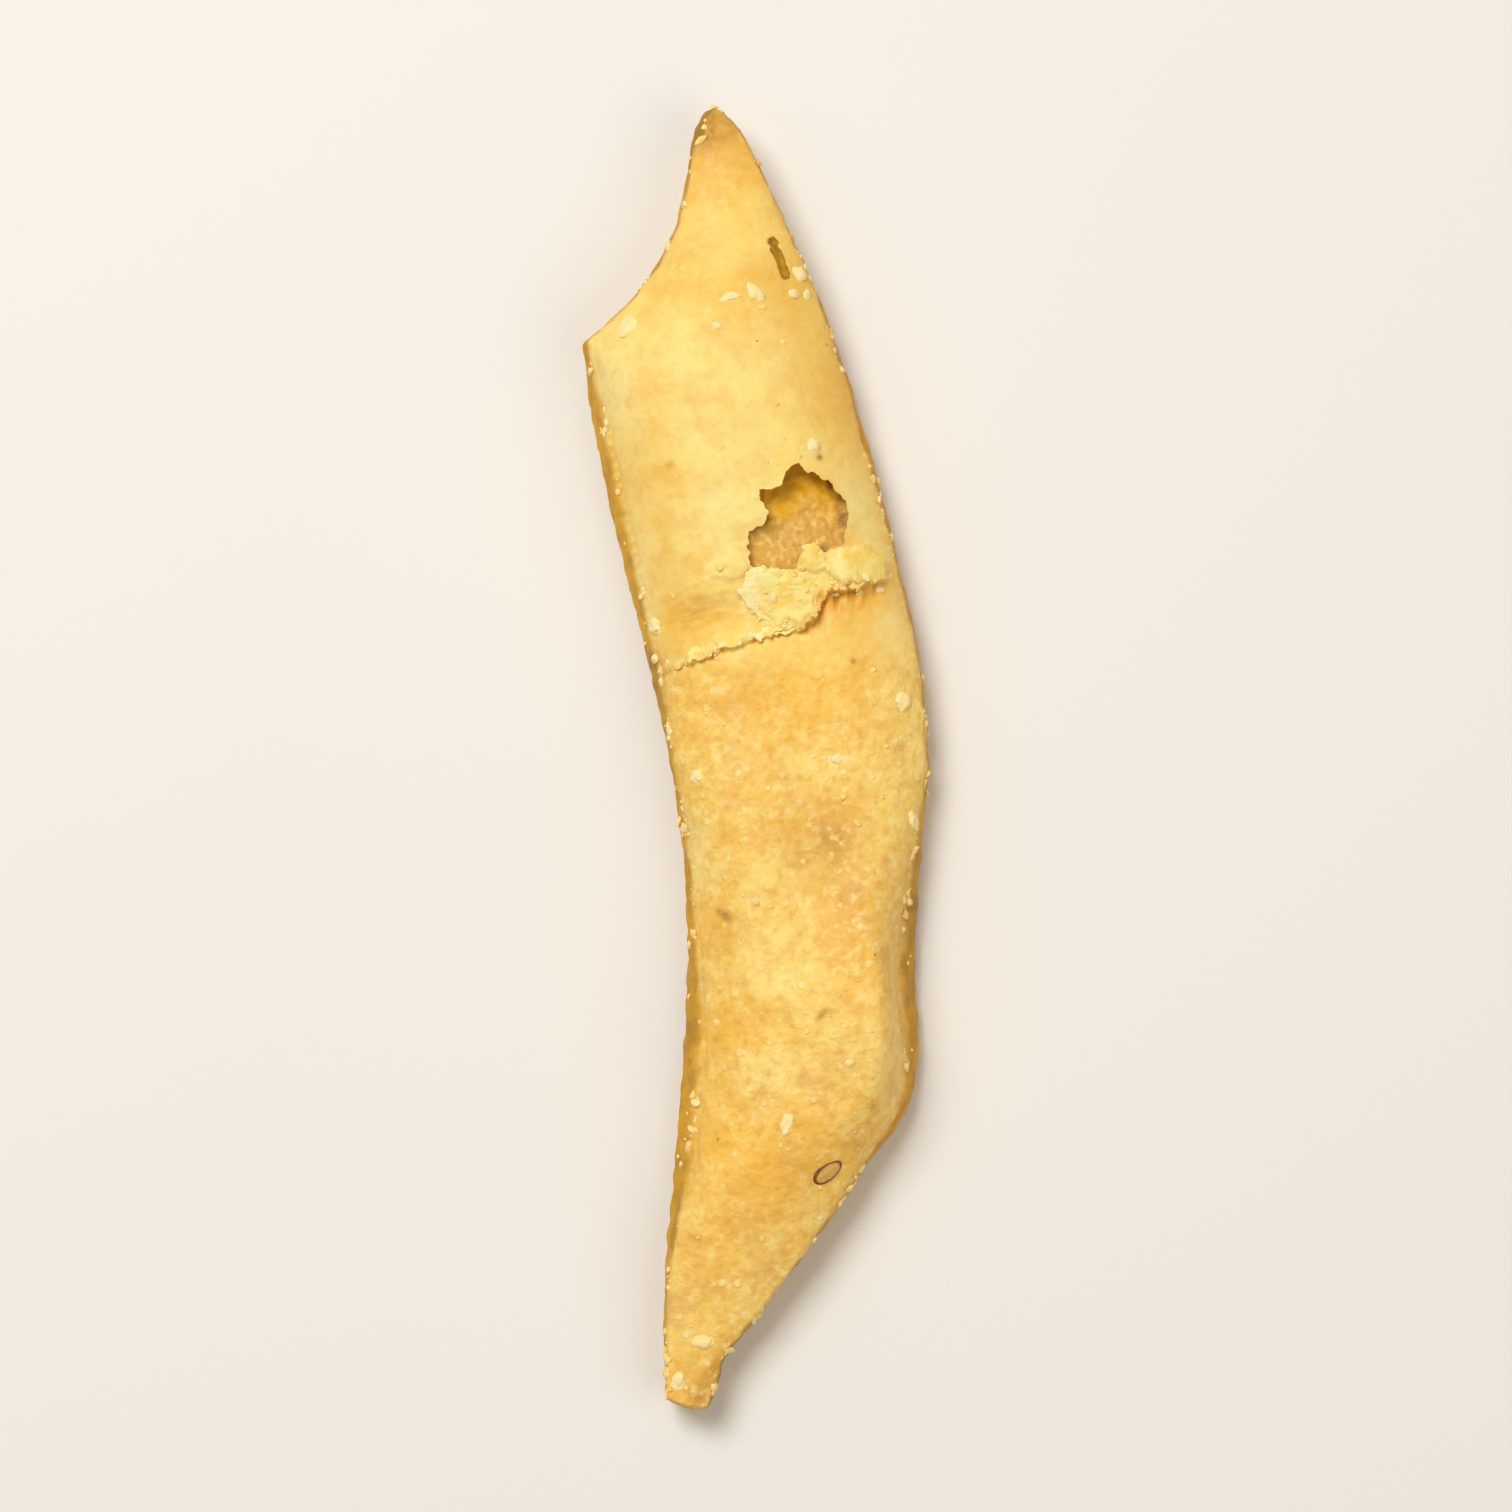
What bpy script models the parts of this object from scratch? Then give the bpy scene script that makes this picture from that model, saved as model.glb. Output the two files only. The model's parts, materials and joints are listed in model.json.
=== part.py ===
"""One piece of long mathri: a strip of rolled dough, cut on the slant and deep fried until it puffs.

The strip lies on its flatter face, with +Z up and +Y along it to the narrow tip. Its origin is
below the middle of its outer box, on the surface that it rests on. Shapes are worked out in
millimetres, and the finished mesh is scaled to metres.
"""

from collections import namedtuple
import math

import bpy
import bmesh
import numpy as np
from mathutils import Matrix, Vector, noise
from mathutils.bvhtree import BVHTree

MM = 0.001  # one millimetre in metres

# The dough, in mm
DOUGH = 3.0  # thickness of the rolled strip at its cut edges
TIP_DOUGH = 2.1  # thickness at the two ends
TIP_TAPER = 9.0  # length over which each end thins
HALF_LENGTH = 36.0
CELL = 0.26  # size of the cells that the strip is worked in
TRIANGLES = 10700  # faces of the finished strip, before its crumbs are added

# How frying puffs the strip, in mm
DOME_REACH = 4.9  # distance in from a cut edge at which the top is fully risen
SWELL_REACH = 1.9  # the same at the swelling, which rises more steeply
EDGE_BLEND = 1.0  # how far the rises from neighbouring edges run into each other
TURN_BLEND = 0.6  # the same for the ways in from them
# Along the strip, the height that its middle rises above the cut edges: (y, height)
CROWN = (
    (-36, 0.1), (-29, 0.7), (-22, 1.9), (-14, 2.6), (-6, 2.3), (2, 1.9),
    (6, 2.2), (11, 3.1), (19, 3.5), (26, 2.7), (31, 1.2), (36, 0.2),
)  # fmt: skip
CROWN_BLUR = 2.0  # each way, for a smooth run through those heights
# Rounded rises and, with a height below 0, dips in the top: middle, half sizes and degrees turned
Bulge = namedtuple("Bulge", "x y half_width half_length turn height")
SWELLING = Bulge(5.8, -14.6, 3.8, 6.0, 6, 0.75)  # it swells out over the lower right edge
BULGES = (
    SWELLING,
    Bulge(-1.8, 18.5, 3.6, 8.0, 8, 0.55),  # the blister stands highest left of the middle
    Bulge(-1.0, -3.0, 2.6, 6.0, 4, 0.45),
    Bulge(4.6, -6.5, 2.2, 4.5, -30, -0.55),  # shallow trough across the lower half
    Bulge(-0.5, 7.3, 4.0, 1.6, 10, -0.45),  # fallen skin beside the tear
    Bulge(-2.8, -11.5, 2.0, 3.4, 20, -0.35),
)
# How far the cut edges lean in by their tops, along the left and the right side: (y, lean)
LEFT_LEAN = (
    (-36, 0.2), (-28, 0.55), (-23, 1.5), (-16, 1.5), (-10, 0.9), (0, 0.6),
    (11, 1.15), (19, 1.15), (24, 0.5), (32, 0.45), (33.3, 0.45), (34.4, 1.1), (35.4, 0.8),
)  # fmt: skip
RIGHT_LEAN = (
    (-36, 0.2), (-24, 0.4), (-18, 1.2), (-12, 1.4), (-6, 0.9), (0, 0.4),
    (12, 0.5), (18, 0.75), (24, 0.45), (34, 0.2),
)  # fmt: skip
EDGE_SWELL = 0.25  # how far frying swells the cut edges out past the line of the cut
UNDERCUT = 0.3  # how far the foot of a cut edge is rounded in
LEAN_REACH = 1.8  # distance in from the edge over which the lean dies out

# The underside, in mm
BELLY = 0.7  # how far the underside swells down, which the resting face cuts off flat
EDGE_LIFT = 0.5  # height of the foot of the cut edges above the resting face
FLAT_WITHIN = 0.03  # what lies lower than this is pressed on to the resting face
BELLY_LUMPS = (5.0, 0.14)  # spacing and height of the underside's own lumps
REST_CENTRE = -1.0  # middle of the stretch that doesn't curl up
REST_HALF_LENGTH = 13.0
NARROW_LIFT = 1.9  # how far the narrow tip curls up
BLUNT_LIFT = 1.1
LIFT_TWIST = 0.05  # share by which each curl grows or falls off for each mm across

# Relief of the fried surface, in mm: (spacing of its lumps, height)
LUMPS = ((6.0, 0.20), (2.3, 0.09), (0.9, 0.035))
EDGE_LUMPS = 0.4  # share of their height that is left at the cut edges
EDGE_CRUMBLE = 0.11  # how far the cut edges are rough
CRUMBLE_SPACING = 0.8
CRUMBLE_REACH = 0.4

# The tear across the blister's lower end: (x, y) along it, in mm
TEAR = (
    (-5.8, 4.2), (-4.0, 4.8), (-0.5, 5.9), (2.6, 6.8), (3.4, 7.3), (4.1, 8.7), (6.2, 9.1), (7.8, 9.5),
)  # fmt: skip
TEAR_RAGGED = 0.3
RAG_SPACING = 0.75  # length of the bites along torn and broken skin
LIP = 0.36  # height of the torn skin's lip
LIP_REACH = 1.2
LIP_UNEVEN = 0.6  # share by which the lip's height varies
LIP_SPACING = 1.3
TEAR_STEP = 0.22  # half the width over which the top drops from the lip
CREVICE = 0.5  # depth of the crevice below it
CREVICE_REACH = 0.5
TEAR_FADE = 1.6  # length over which the tear dies out at its ends

# Loose plates of broken skin lying near the hole: middle, half sizes and degrees turned
Flake = namedtuple("Flake", "x y half_width half_length turn thickness")
FLAKES = (
    Flake(1.6, 8.5, 2.1, 1.6, 0, 0.24),
    Flake(5.7, 10.2, 1.7, 1.0, 5, 0.28),
    Flake(3.3, 10.4, 0.7, 0.7, 0, 0.16),
    Flake(-1.1, 10.0, 0.9, 0.7, 0, 0.12),
    Flake(-3.1, 5.5, 0.9, 0.4, 12, 0.14),
    Flake(-1.2, 6.1, 0.9, 0.35, 18, 0.14),
)
FLAKE_RAGGED = 0.25  # share of a flake's size by which its outline wanders

# The hole burst through the blister's skin, seen from above, in mm
HOLE = (
    (1.9, 15.7), (2.6, 15.6), (2.9, 15.0), (4.0, 14.9), (4.8, 13.9), (5.2, 12.1), (4.1, 10.8),
    (3.2, 11.3), (2.4, 10.3), (0.9, 9.9), (-0.3, 10.2), (-0.4, 11.7), (0.7, 12.5), (0.4, 13.9),
    (1.3, 14.5),
)  # fmt: skip
SKIN = 0.5  # thickness of the blister's skin
HOLE_RAGGED = 0.2
POCKET_FLOOR = 5.1  # height of the floor of the hollow under it
POCKET_SLOPE = (-0.12, -0.14)  # how the floor falls for each mm to the right and up the strip
POCKET_LUMPS = (1.1, 0.3)  # spacing and height of the floor's lumps
POCKET_LEAST = 0.3  # least height of the hollow
POCKET_MARGIN = 0.8  # how far the hollow runs on under the skin, all round the hole
Slit = namedtuple("Slit", "x y half_width half_length turn depth")
SLIT = Slit(1.4, 27.15, 0.32, 1.35, 20, 0.6)

# Crumbs baked on to the surface, and one seed set in it, in mm: place, radius, stretch and turn
Crumb = namedtuple("Crumb", "x y radius stretch turn")
CRUMBS = (
    Crumb(-5.8, 6.9, 0.5, 1.1, 20),
    Crumb(8.2, 2.8, 0.48, 1.0, 0),
    Crumb(9.1, -3.8, 0.36, 1.8, -50),
    Crumb(0.1, 25.1, 0.38, 1.75, -45),
    Crumb(-1.3, 24.8, 0.29, 1.9, 15),
    Crumb(2.6, 26.4, 0.42, 1.25, -40),
    Crumb(3.3, 16.7, 0.4, 1.0, 0),
    Crumb(-3.2, -1.3, 0.38, 1.2, 30),
    Crumb(1.8, -20.4, 0.38, 1.7, 80),
    Crumb(-2.8, -32.3, 0.42, 1.4, 0),
    Crumb(-4.1, -34.4, 0.42, 1.2, 70),
    Crumb(-7.0, 23.4, 0.62, 1.1, 60),
)
CRUMB_FLAT = 0.6  # height of a crumb as a share of its width
CRUMB_PROUD = 0.55  # share of its radius by which a crumb stands out of the surface
CRUMB_UNEVEN = 0.35  # share of its radius by which a crumb is knobbly
SEED = Crumb(4.1, -23.0, 0.53, 1.9, 36)
SEED_PROUD = 0.17  # how far the seed stands out of the dough

Corner = namedtuple("Corner", "x y bow narrowness")
# Corners of the cut strip seen from above, anticlockwise from the blunt tip, in mm. Each side
# bows outwards by its first corner's bow, over a stretch that narrowness shortens.
CORNERS = (
    Corner(-4.8, -35.4, 0.25, 1),
    Corner(-2.5, -35.9, 0.1, 1),
    Corner(-1.6, -33.2, 0.15, 1),
    Corner(6.5, -22.4, 0.9, 1),
    Corner(9.3, -15.5, -0.1, 1),
    Corner(9.1, -9.5, 0.0, 1),
    Corner(9.75, -1.0, 0.4, 1),
    Corner(8.2, 10.0, 0.95, 1),
    Corner(0.1, 32.9, 0.3, 1),
    Corner(-2.2, 35.8, 0.1, 1),
    Corner(-3.05, 35.2, 0.1, 1),
    Corner(-3.5, 33.9, -1.6, 1),
    Corner(-9.6, 22.8, -3.2, 2),
)
OUTLINE_STEP = 0.6

DOUGH_COLOUR = (0.84, 0.56, 0.18)  # golden fried dough, linear

# A place for each kind of noise in the field that it is read from
NOISE = {"belly": 1, "tear": 3, "lip": 4, "crumble": 5, "pocket": 7, "flake": 9, "lumps": 12}
NOISE_SEED = 10  # makes noise vectors the same each time


def cut_outline():
    """The strip's outline from above, as points a step apart, anticlockwise."""
    points = []
    for corner, following in zip(CORNERS, CORNERS[1:] + CORNERS[:1]):
        start, end = np.array(corner[:2]), np.array(following[:2])
        run = end - start
        length = np.linalg.norm(run)
        outwards = np.array((run[1], -run[0])) / length
        for share in np.arange(0, 1 - 1e-6, 1 / max(2, round(length / OUTLINE_STEP))):
            bow = corner.bow * math.sin(math.pi * share) ** corner.narrowness
            points.append(start + share * run + bow * outwards)
    return np.array(points)


OUTLINE = cut_outline()


def straight_edge_field():
    """What a long straight edge is felt as at each of a row of depths in from it, and the depths."""
    depths = np.linspace(0, 12, 121)
    step = 0.05
    along = np.arange(-30, 30, step)
    felt = np.exp(-np.hypot(depths[:, None], along) / EDGE_BLEND).sum(axis=1) * step
    return -EDGE_BLEND * np.log(felt), depths


STRAIGHT_EDGE = straight_edge_field()


def smooth_step(value, low, high):
    """0 below low and 1 above high, with a smooth rise between."""
    share = np.clip((value - low) / (high - low), 0, 1)
    return share * share * (3 - 2 * share)


def noise_at(points, spacing, kind):
    """Smooth noise of about -1 to 1 at each point, with lumps that spacing apart."""
    shift = NOISE[kind] * Vector((1.0, 2.3, 5.1))
    return np.array([noise.noise(Vector(point) / spacing + shift) for point in points])


def flat_points(x, y):
    """Points at these places, at no height."""
    return np.column_stack((x, y, np.zeros_like(x)))


def edge_distance(x, y):
    """Distance in from the outline, the same blended where edges meet, and the way inwards."""
    run = np.roll(OUTLINE, -1, axis=0) - OUTLINE
    inwards = np.column_stack((-run[:, 1], run[:, 0])) / np.linalg.norm(run, axis=1)[:, None]
    away = np.stack((x, y), axis=1)[:, None] - OUTLINE
    share = np.clip((away * run).sum(2) / (run * run).sum(1), 0, 1)
    gaps = np.linalg.norm(away - share[..., None] * run, axis=2)
    nearest = gaps.min(axis=1)
    direction = np.exp((nearest[:, None] - gaps) / TURN_BLEND) @ inwards
    direction /= np.linalg.norm(direction, axis=1)[:, None]
    felt = np.exp(-np.linalg.norm(away - run / 2, axis=2) / EDGE_BLEND) @ np.linalg.norm(run, axis=1)
    blended = np.interp(-EDGE_BLEND * np.log(felt), *STRAIGHT_EDGE)
    return nearest, blended, direction[:, 0], direction[:, 1]


def local(x, y, feature):
    """x and y from a feature's middle, turned to lie along it, in its half sizes."""
    turn = math.radians(feature.turn)
    across = (x - feature.x) * math.cos(turn) + (y - feature.y) * math.sin(turn)
    along = (y - feature.y) * math.cos(turn) - (x - feature.x) * math.sin(turn)
    return across / feature.half_width, along / feature.half_length


def dome(inside, reach=DOME_REACH):
    """Share of the full rise at a distance in from the cut edge."""
    return 1 - (1 - np.minimum(inside / reach, 1)) ** 2


def end_lift(x, y):
    """How far the two ends curl up off the resting face."""
    past = np.abs(y - REST_CENTRE) - REST_HALF_LENGTH
    share = np.maximum(past, 0) / (HALF_LENGTH - REST_HALF_LENGTH)
    height = np.where(y > REST_CENTRE, NARROW_LIFT, BLUNT_LIFT)
    return height * share**2 * (1 - LIFT_TWIST * x * np.sign(y))


def edge_height(y):
    """Height of the cut edge, which thins at both ends."""
    return TIP_DOUGH + (DOUGH - TIP_DOUGH) * smooth_step(HALF_LENGTH - np.abs(y), 0, TIP_TAPER)


def mound(x, y, bulge, spread=1.0):
    """1 at a bulge's middle, falling off smoothly around it."""
    across, along = local(x, y, bulge)
    return np.exp(-(across**2 + along**2) / spread)


def smooth_top(x, y, inside):
    """Height of the puffed top without its torn skin."""
    shifts = np.linspace(-CROWN_BLUR, CROWN_BLUR, 5)
    crown = np.mean([np.interp(y + shift, *zip(*CROWN)) for shift in shifts], axis=0)
    reach = DOME_REACH + (SWELL_REACH - DOME_REACH) * mound(x, y, SWELLING, spread=2)
    rise = dome(inside, reach)
    bulges = sum(bulge.height * mound(x, y, bulge) for bulge in BULGES)
    return end_lift(x, y) + edge_height(y) + crown * rise + bulges * np.sqrt(rise)


def torn_skin(x, y):
    """Height that the tear and the loose flakes add to the top."""
    points = flat_points(x, y)
    above = y - np.interp(x, *zip(*TEAR)) + TEAR_RAGGED * noise_at(points, RAG_SPACING, "tear")
    start, end = TEAR[0][0], TEAR[-1][0]
    ends = smooth_step(x, start, start + TEAR_FADE) * smooth_step(end - x, 0, TEAR_FADE)
    torn = smooth_step(above, -TEAR_STEP, TEAR_STEP)
    lip = LIP * (1 + LIP_UNEVEN * noise_at(points, LIP_SPACING, "lip"))
    lip = lip * np.exp(-np.maximum(above, 0) / LIP_REACH) * torn
    crevice = CREVICE * np.exp(np.minimum(above, 0) / CREVICE_REACH) * (1 - torn)
    height = (lip - crevice) * ends
    ragged = FLAKE_RAGGED * noise_at(points, RAG_SPACING, "flake")
    for flake in FLAKES:
        reach = np.hypot(*local(x, y, flake)) + ragged
        height = height + flake.thickness * (1 - smooth_step(reach, 0.8, 1.1))
    return height


def underside(x, y, inside):
    """Height of the underside, swollen down and pressed flat where it rests."""
    spacing, height = BELLY_LUMPS
    lumps = height * noise_at(flat_points(x, y), spacing, "belly")
    return np.maximum(end_lift(x, y) + EDGE_LIFT - BELLY * dome(inside) + lumps, 0)


def edge_lean(points, nearest, inwards_x):
    """How far each point moves in, where the cut edge leans, is rounded or has crumbled."""
    y, share = points[:, 1], points[:, 2] / DOUGH
    on_left = smooth_step(inwards_x, -0.4, 0.4)
    lean = on_left * np.interp(y, *zip(*LEFT_LEAN)) + (1 - on_left) * np.interp(y, *zip(*RIGHT_LEAN))
    lean = lean * share**1.5 + UNDERCUT * (1 - share) ** 2 * edge_height(y) / DOUGH - EDGE_SWELL
    crumble = EDGE_CRUMBLE * (1 + noise_at(points, CRUMBLE_SPACING, "crumble"))
    return lean * np.exp(-nearest / LEAN_REACH) + crumble * np.exp(-nearest / CRUMBLE_REACH)


def puffed(points):
    """Moves the points of the flat strip to where frying takes them."""
    points[:, 2] = np.clip(points[:, 2], 0, DOUGH)
    x, y, z = points.T
    nearest, inside, inwards_x, inwards_y = edge_distance(x, y)
    lumps = sum(height * noise_at(points, spacing, "lumps") for spacing, height in LUMPS)
    lumps = lumps * (EDGE_LUMPS + (1 - EDGE_LUMPS) * dome(inside))
    top = smooth_top(x, y, inside) + torn_skin(x, y) + lumps
    bottom = underside(x, y, inside)
    lean = edge_lean(points, nearest, inwards_x)
    height = bottom + (top - bottom) * z / DOUGH
    return np.column_stack((x + lean * inwards_x, y + lean * inwards_y, height))


def new_mesh_object(name, mesh, collection):
    """An object for a mesh, in a collection."""
    thing = bpy.data.objects.new(name, mesh)
    collection.objects.link(thing)
    return thing


def mesh_with_modifiers(thing):
    """Gives an object its evaluated mesh, and takes its modifiers off."""
    graph = bpy.context.evaluated_depsgraph_get()
    mesh = bpy.data.meshes.new_from_object(thing.evaluated_get(graph))
    thing.modifiers.clear()
    thing.data = mesh


def extruded_outline(name, outline, low, high, collection):
    """A plate with this outline from above, from one height to another."""
    curve = bpy.data.curves.new(name, "CURVE")
    curve.dimensions = "2D"
    curve.fill_mode = "BOTH"
    curve.extrude = (high - low) / 2
    spline = curve.splines.new("POLY")
    spline.points.add(len(outline) - 1)
    for point, (x, y) in zip(spline.points, outline):
        point.co = (x, y, 0, 1)
    spline.use_cyclic_u = True
    outlined = new_mesh_object(name, curve, collection)
    graph = bpy.context.evaluated_depsgraph_get()
    mesh = bpy.data.meshes.new_from_object(outlined.evaluated_get(graph))
    bpy.data.objects.remove(outlined)
    mesh.transform(Matrix.Translation((0, 0, (low + high) / 2)))
    welded = bmesh.new()
    welded.from_mesh(mesh)
    bmesh.ops.remove_doubles(welded, verts=welded.verts, dist=1e-4)
    welded.to_mesh(mesh)
    welded.free()
    return new_mesh_object(name, mesh, collection)


def vertex_array(mesh):
    """The mesh's points as an array with a row for each."""
    points = np.empty(len(mesh.vertices) * 3)
    mesh.vertices.foreach_get("co", points)
    return points.reshape(-1, 3)


def move_vertices(mesh, points):
    """Puts the mesh's points at these places."""
    mesh.vertices.foreach_set("co", np.asarray(points).ravel())
    mesh.update()


def dough_strip(collection):
    """The cut strip, puffed but whole."""
    strip = extruded_outline("mathri", OUTLINE, 0, DOUGH, collection)
    cells = strip.modifiers.new("cells", "REMESH")
    cells.mode = "VOXEL"
    cells.voxel_size = CELL
    mesh_with_modifiers(strip)
    move_vertices(strip.data, puffed(vertex_array(strip.data)))
    return strip


def surface_height(x, y):
    """Height of the finished top at one place."""
    x, y = np.array([x]), np.array([y])
    inside = edge_distance(x, y)[1]
    return float((smooth_top(x, y, inside) + torn_skin(x, y))[0])


def cutter(name, fill, collection):
    """A cutter whose mesh the function fill makes in a bmesh."""
    shape = bmesh.new()
    fill(shape)
    mesh = bpy.data.meshes.new(name)
    shape.to_mesh(mesh)
    shape.free()
    return new_mesh_object(name, mesh, collection)


def pocket_cutter(collection):
    """The hollow below the skin, a lens whose roof follows the blister."""
    hole = np.array(HOLE)
    middle = (hole.min(axis=0) + hole.max(axis=0)) / 2
    reach = (hole.max(axis=0) - hole.min(axis=0)) / 2 + POCKET_MARGIN

    def fill(shape):
        bmesh.ops.create_uvsphere(shape, u_segments=28, v_segments=12, radius=1)

    pocket = cutter("pocket", fill, collection)
    ball = vertex_array(pocket.data)
    x, y = middle[0] + reach[0] * ball[:, 0], middle[1] + reach[1] * ball[:, 1]
    spacing, height = POCKET_LUMPS
    roof = smooth_top(x, y, edge_distance(x, y)[1]) - SKIN
    floor = POCKET_FLOOR + POCKET_SLOPE[0] * (x - middle[0]) + POCKET_SLOPE[1] * (y - middle[1])
    floor = floor + height * noise_at(flat_points(x, y), spacing, "pocket")
    floor = np.minimum(floor, roof - POCKET_LEAST)
    z = (roof + floor) / 2 + ball[:, 2] * (roof - floor) / 2
    move_vertices(pocket.data, np.column_stack((x, y, z)))
    return pocket


def hole_cutter(collection):
    """A ragged punch through the skin into the hollow."""
    corners = np.array(HOLE)
    steps = 4
    outline = []
    for start, end in zip(corners, np.roll(corners, -1, axis=0)):
        for step in range(steps):
            x, y = start + (end - start) * step / steps
            shift = HOLE_RAGGED * noise.noise_vector(Vector((x, y, 0)) / RAG_SPACING)
            outline.append((x + shift.x, y + shift.y))
    height = surface_height(*corners.mean(axis=0))
    return extruded_outline("hole", outline, height - 3 * SKIN, height + 3 * SKIN, collection)


def slit_cutter(collection):
    """The narrow slit near the narrow tip."""
    height = surface_height(SLIT.x, SLIT.y)
    sizes = Matrix.Diagonal((SLIT.half_width, SLIT.half_length, SLIT.depth, 1))
    turn = Matrix.Rotation(math.radians(SLIT.turn), 4, "Z")
    place = Matrix.Translation((SLIT.x, SLIT.y, height)) @ turn @ sizes

    def fill(shape):
        bmesh.ops.create_icosphere(shape, subdivisions=2, radius=1, matrix=place)

    return cutter("slit", fill, collection)


def grain(name, crumb, surface, proud, fineness, uneven, collection):
    """A crumb or a seed lying on the surface, standing out of it by proud."""
    near = (crumb.x, crumb.y, surface_height(crumb.x, crumb.y))
    place, outwards, _, _ = surface.find_nearest(near)
    place += (proud - CRUMB_FLAT * crumb.radius) * outwards
    sizes = Matrix.Diagonal((crumb.radius * crumb.stretch, crumb.radius, CRUMB_FLAT * crumb.radius, 1))
    lean = Vector((0, 0, 1)).rotation_difference(outwards).to_matrix().to_4x4()
    turn = Matrix.Rotation(math.radians(crumb.turn), 4, "Z")
    place = Matrix.Translation(place) @ lean @ turn @ sizes

    def fill(shape):
        bmesh.ops.create_icosphere(shape, subdivisions=fineness, radius=1)
        for vert in shape.verts:
            vert.co += uneven * noise.noise_vector(vert.co + Vector((crumb.x, crumb.y, 0)))
        shape.transform(place)

    return cutter(name, fill, collection)


def combine(body, operation, collection):
    """Cuts a collection's objects from the body, or joins them to it, and removes them."""
    step = body.modifiers.new(operation.lower(), "BOOLEAN")
    step.operation = operation
    step.operand_type = "COLLECTION"
    step.collection = collection
    mesh_with_modifiers(body)
    for used in list(collection.objects):
        bpy.data.objects.remove(used)


def thin_out(body, faces):
    """Leaves about this many triangles, most of them where the shape turns."""
    body.data.calc_loop_triangles()
    fewer = body.modifiers.new("fewer", "DECIMATE")
    fewer.ratio = faces / len(body.data.loop_triangles)
    mesh_with_modifiers(body)


def stand_at_origin(body):
    """Presses the resting face flat, centres the outer box on the origin and turns mm to metres."""
    points = vertex_array(body.data)
    points[:, 2] = np.where(points[:, 2] < FLAT_WITHIN, 0, points[:, 2])
    points[:, :2] -= (points[:, :2].min(axis=0) + points[:, :2].max(axis=0)) / 2
    move_vertices(body.data, points * MM)


def fried_dough():
    """The material of the fried crust."""
    material = bpy.data.materials.new("fried_dough")
    material.use_nodes = True
    shader = material.node_tree.nodes["Principled BSDF"]
    shader.inputs["Base Color"].default_value = (*DOUGH_COLOUR, 1)
    shader.inputs["Roughness"].default_value = 0.6
    shader.inputs["Metallic"].default_value = 0
    return material


def main():
    noise.seed_set(NOISE_SEED)
    for thing in list(bpy.data.objects):
        bpy.data.objects.remove(thing)
    scene = bpy.context.scene.collection
    food = bpy.data.collections.new("long_mathri")
    cutters = bpy.data.collections.new("cutters")
    grains = bpy.data.collections.new("grains")
    for collection in (food, cutters, grains):
        scene.children.link(collection)

    strip = dough_strip(food)
    pocket_cutter(cutters)
    hole_cutter(cutters)
    slit_cutter(cutters)
    combine(strip, "DIFFERENCE", cutters)
    thin_out(strip, TRIANGLES)

    surface = BVHTree.FromObject(strip, bpy.context.evaluated_depsgraph_get())
    for number, crumb in enumerate(CRUMBS):
        grain(f"crumb_{number}", crumb, surface, CRUMB_PROUD * crumb.radius, 1, CRUMB_UNEVEN, grains)
    grain("seed", SEED, surface, SEED_PROUD, 2, 0, grains)
    combine(strip, "UNION", grains)

    stand_at_origin(strip)
    strip.data.materials.clear()
    strip.data.materials.append(fried_dough())
    for collection in (cutters, grains):
        bpy.data.collections.remove(collection)


main()
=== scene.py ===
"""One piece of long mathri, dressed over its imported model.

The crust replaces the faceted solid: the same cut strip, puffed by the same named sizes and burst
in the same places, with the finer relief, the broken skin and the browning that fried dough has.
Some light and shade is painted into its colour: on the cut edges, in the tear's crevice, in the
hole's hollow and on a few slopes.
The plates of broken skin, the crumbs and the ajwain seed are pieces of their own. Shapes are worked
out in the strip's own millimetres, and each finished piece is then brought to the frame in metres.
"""

from collections.abc import Callable, Sequence
from dataclasses import dataclass, field
from enum import Enum
import json
import logging
import math
import random

import bpy
import numpy as np
from mathutils import Matrix, Vector, noise
from mathutils.bvhtree import BVHTree

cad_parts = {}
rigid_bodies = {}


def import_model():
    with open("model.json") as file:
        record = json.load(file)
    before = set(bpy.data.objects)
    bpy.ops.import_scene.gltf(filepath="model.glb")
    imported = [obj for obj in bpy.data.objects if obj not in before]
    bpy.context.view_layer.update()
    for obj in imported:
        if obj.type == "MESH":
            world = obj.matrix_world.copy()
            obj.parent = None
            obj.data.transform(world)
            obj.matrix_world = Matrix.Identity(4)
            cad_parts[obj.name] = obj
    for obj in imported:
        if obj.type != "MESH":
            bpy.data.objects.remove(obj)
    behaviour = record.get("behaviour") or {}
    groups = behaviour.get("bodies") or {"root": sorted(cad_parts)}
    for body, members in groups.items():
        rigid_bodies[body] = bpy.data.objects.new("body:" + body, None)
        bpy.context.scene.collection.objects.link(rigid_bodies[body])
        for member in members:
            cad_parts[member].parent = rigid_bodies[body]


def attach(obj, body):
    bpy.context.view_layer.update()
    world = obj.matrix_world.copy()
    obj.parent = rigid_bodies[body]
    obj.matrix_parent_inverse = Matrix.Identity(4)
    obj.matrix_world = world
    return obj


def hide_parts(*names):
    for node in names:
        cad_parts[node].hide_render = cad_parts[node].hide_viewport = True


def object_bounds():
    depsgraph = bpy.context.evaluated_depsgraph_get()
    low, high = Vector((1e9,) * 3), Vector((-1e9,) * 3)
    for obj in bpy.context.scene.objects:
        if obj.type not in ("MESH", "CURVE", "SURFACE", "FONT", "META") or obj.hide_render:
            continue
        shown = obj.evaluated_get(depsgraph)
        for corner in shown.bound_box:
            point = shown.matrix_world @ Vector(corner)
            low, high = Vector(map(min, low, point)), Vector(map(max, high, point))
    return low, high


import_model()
CAD_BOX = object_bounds()

log = logging.getLogger("mathri")

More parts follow.
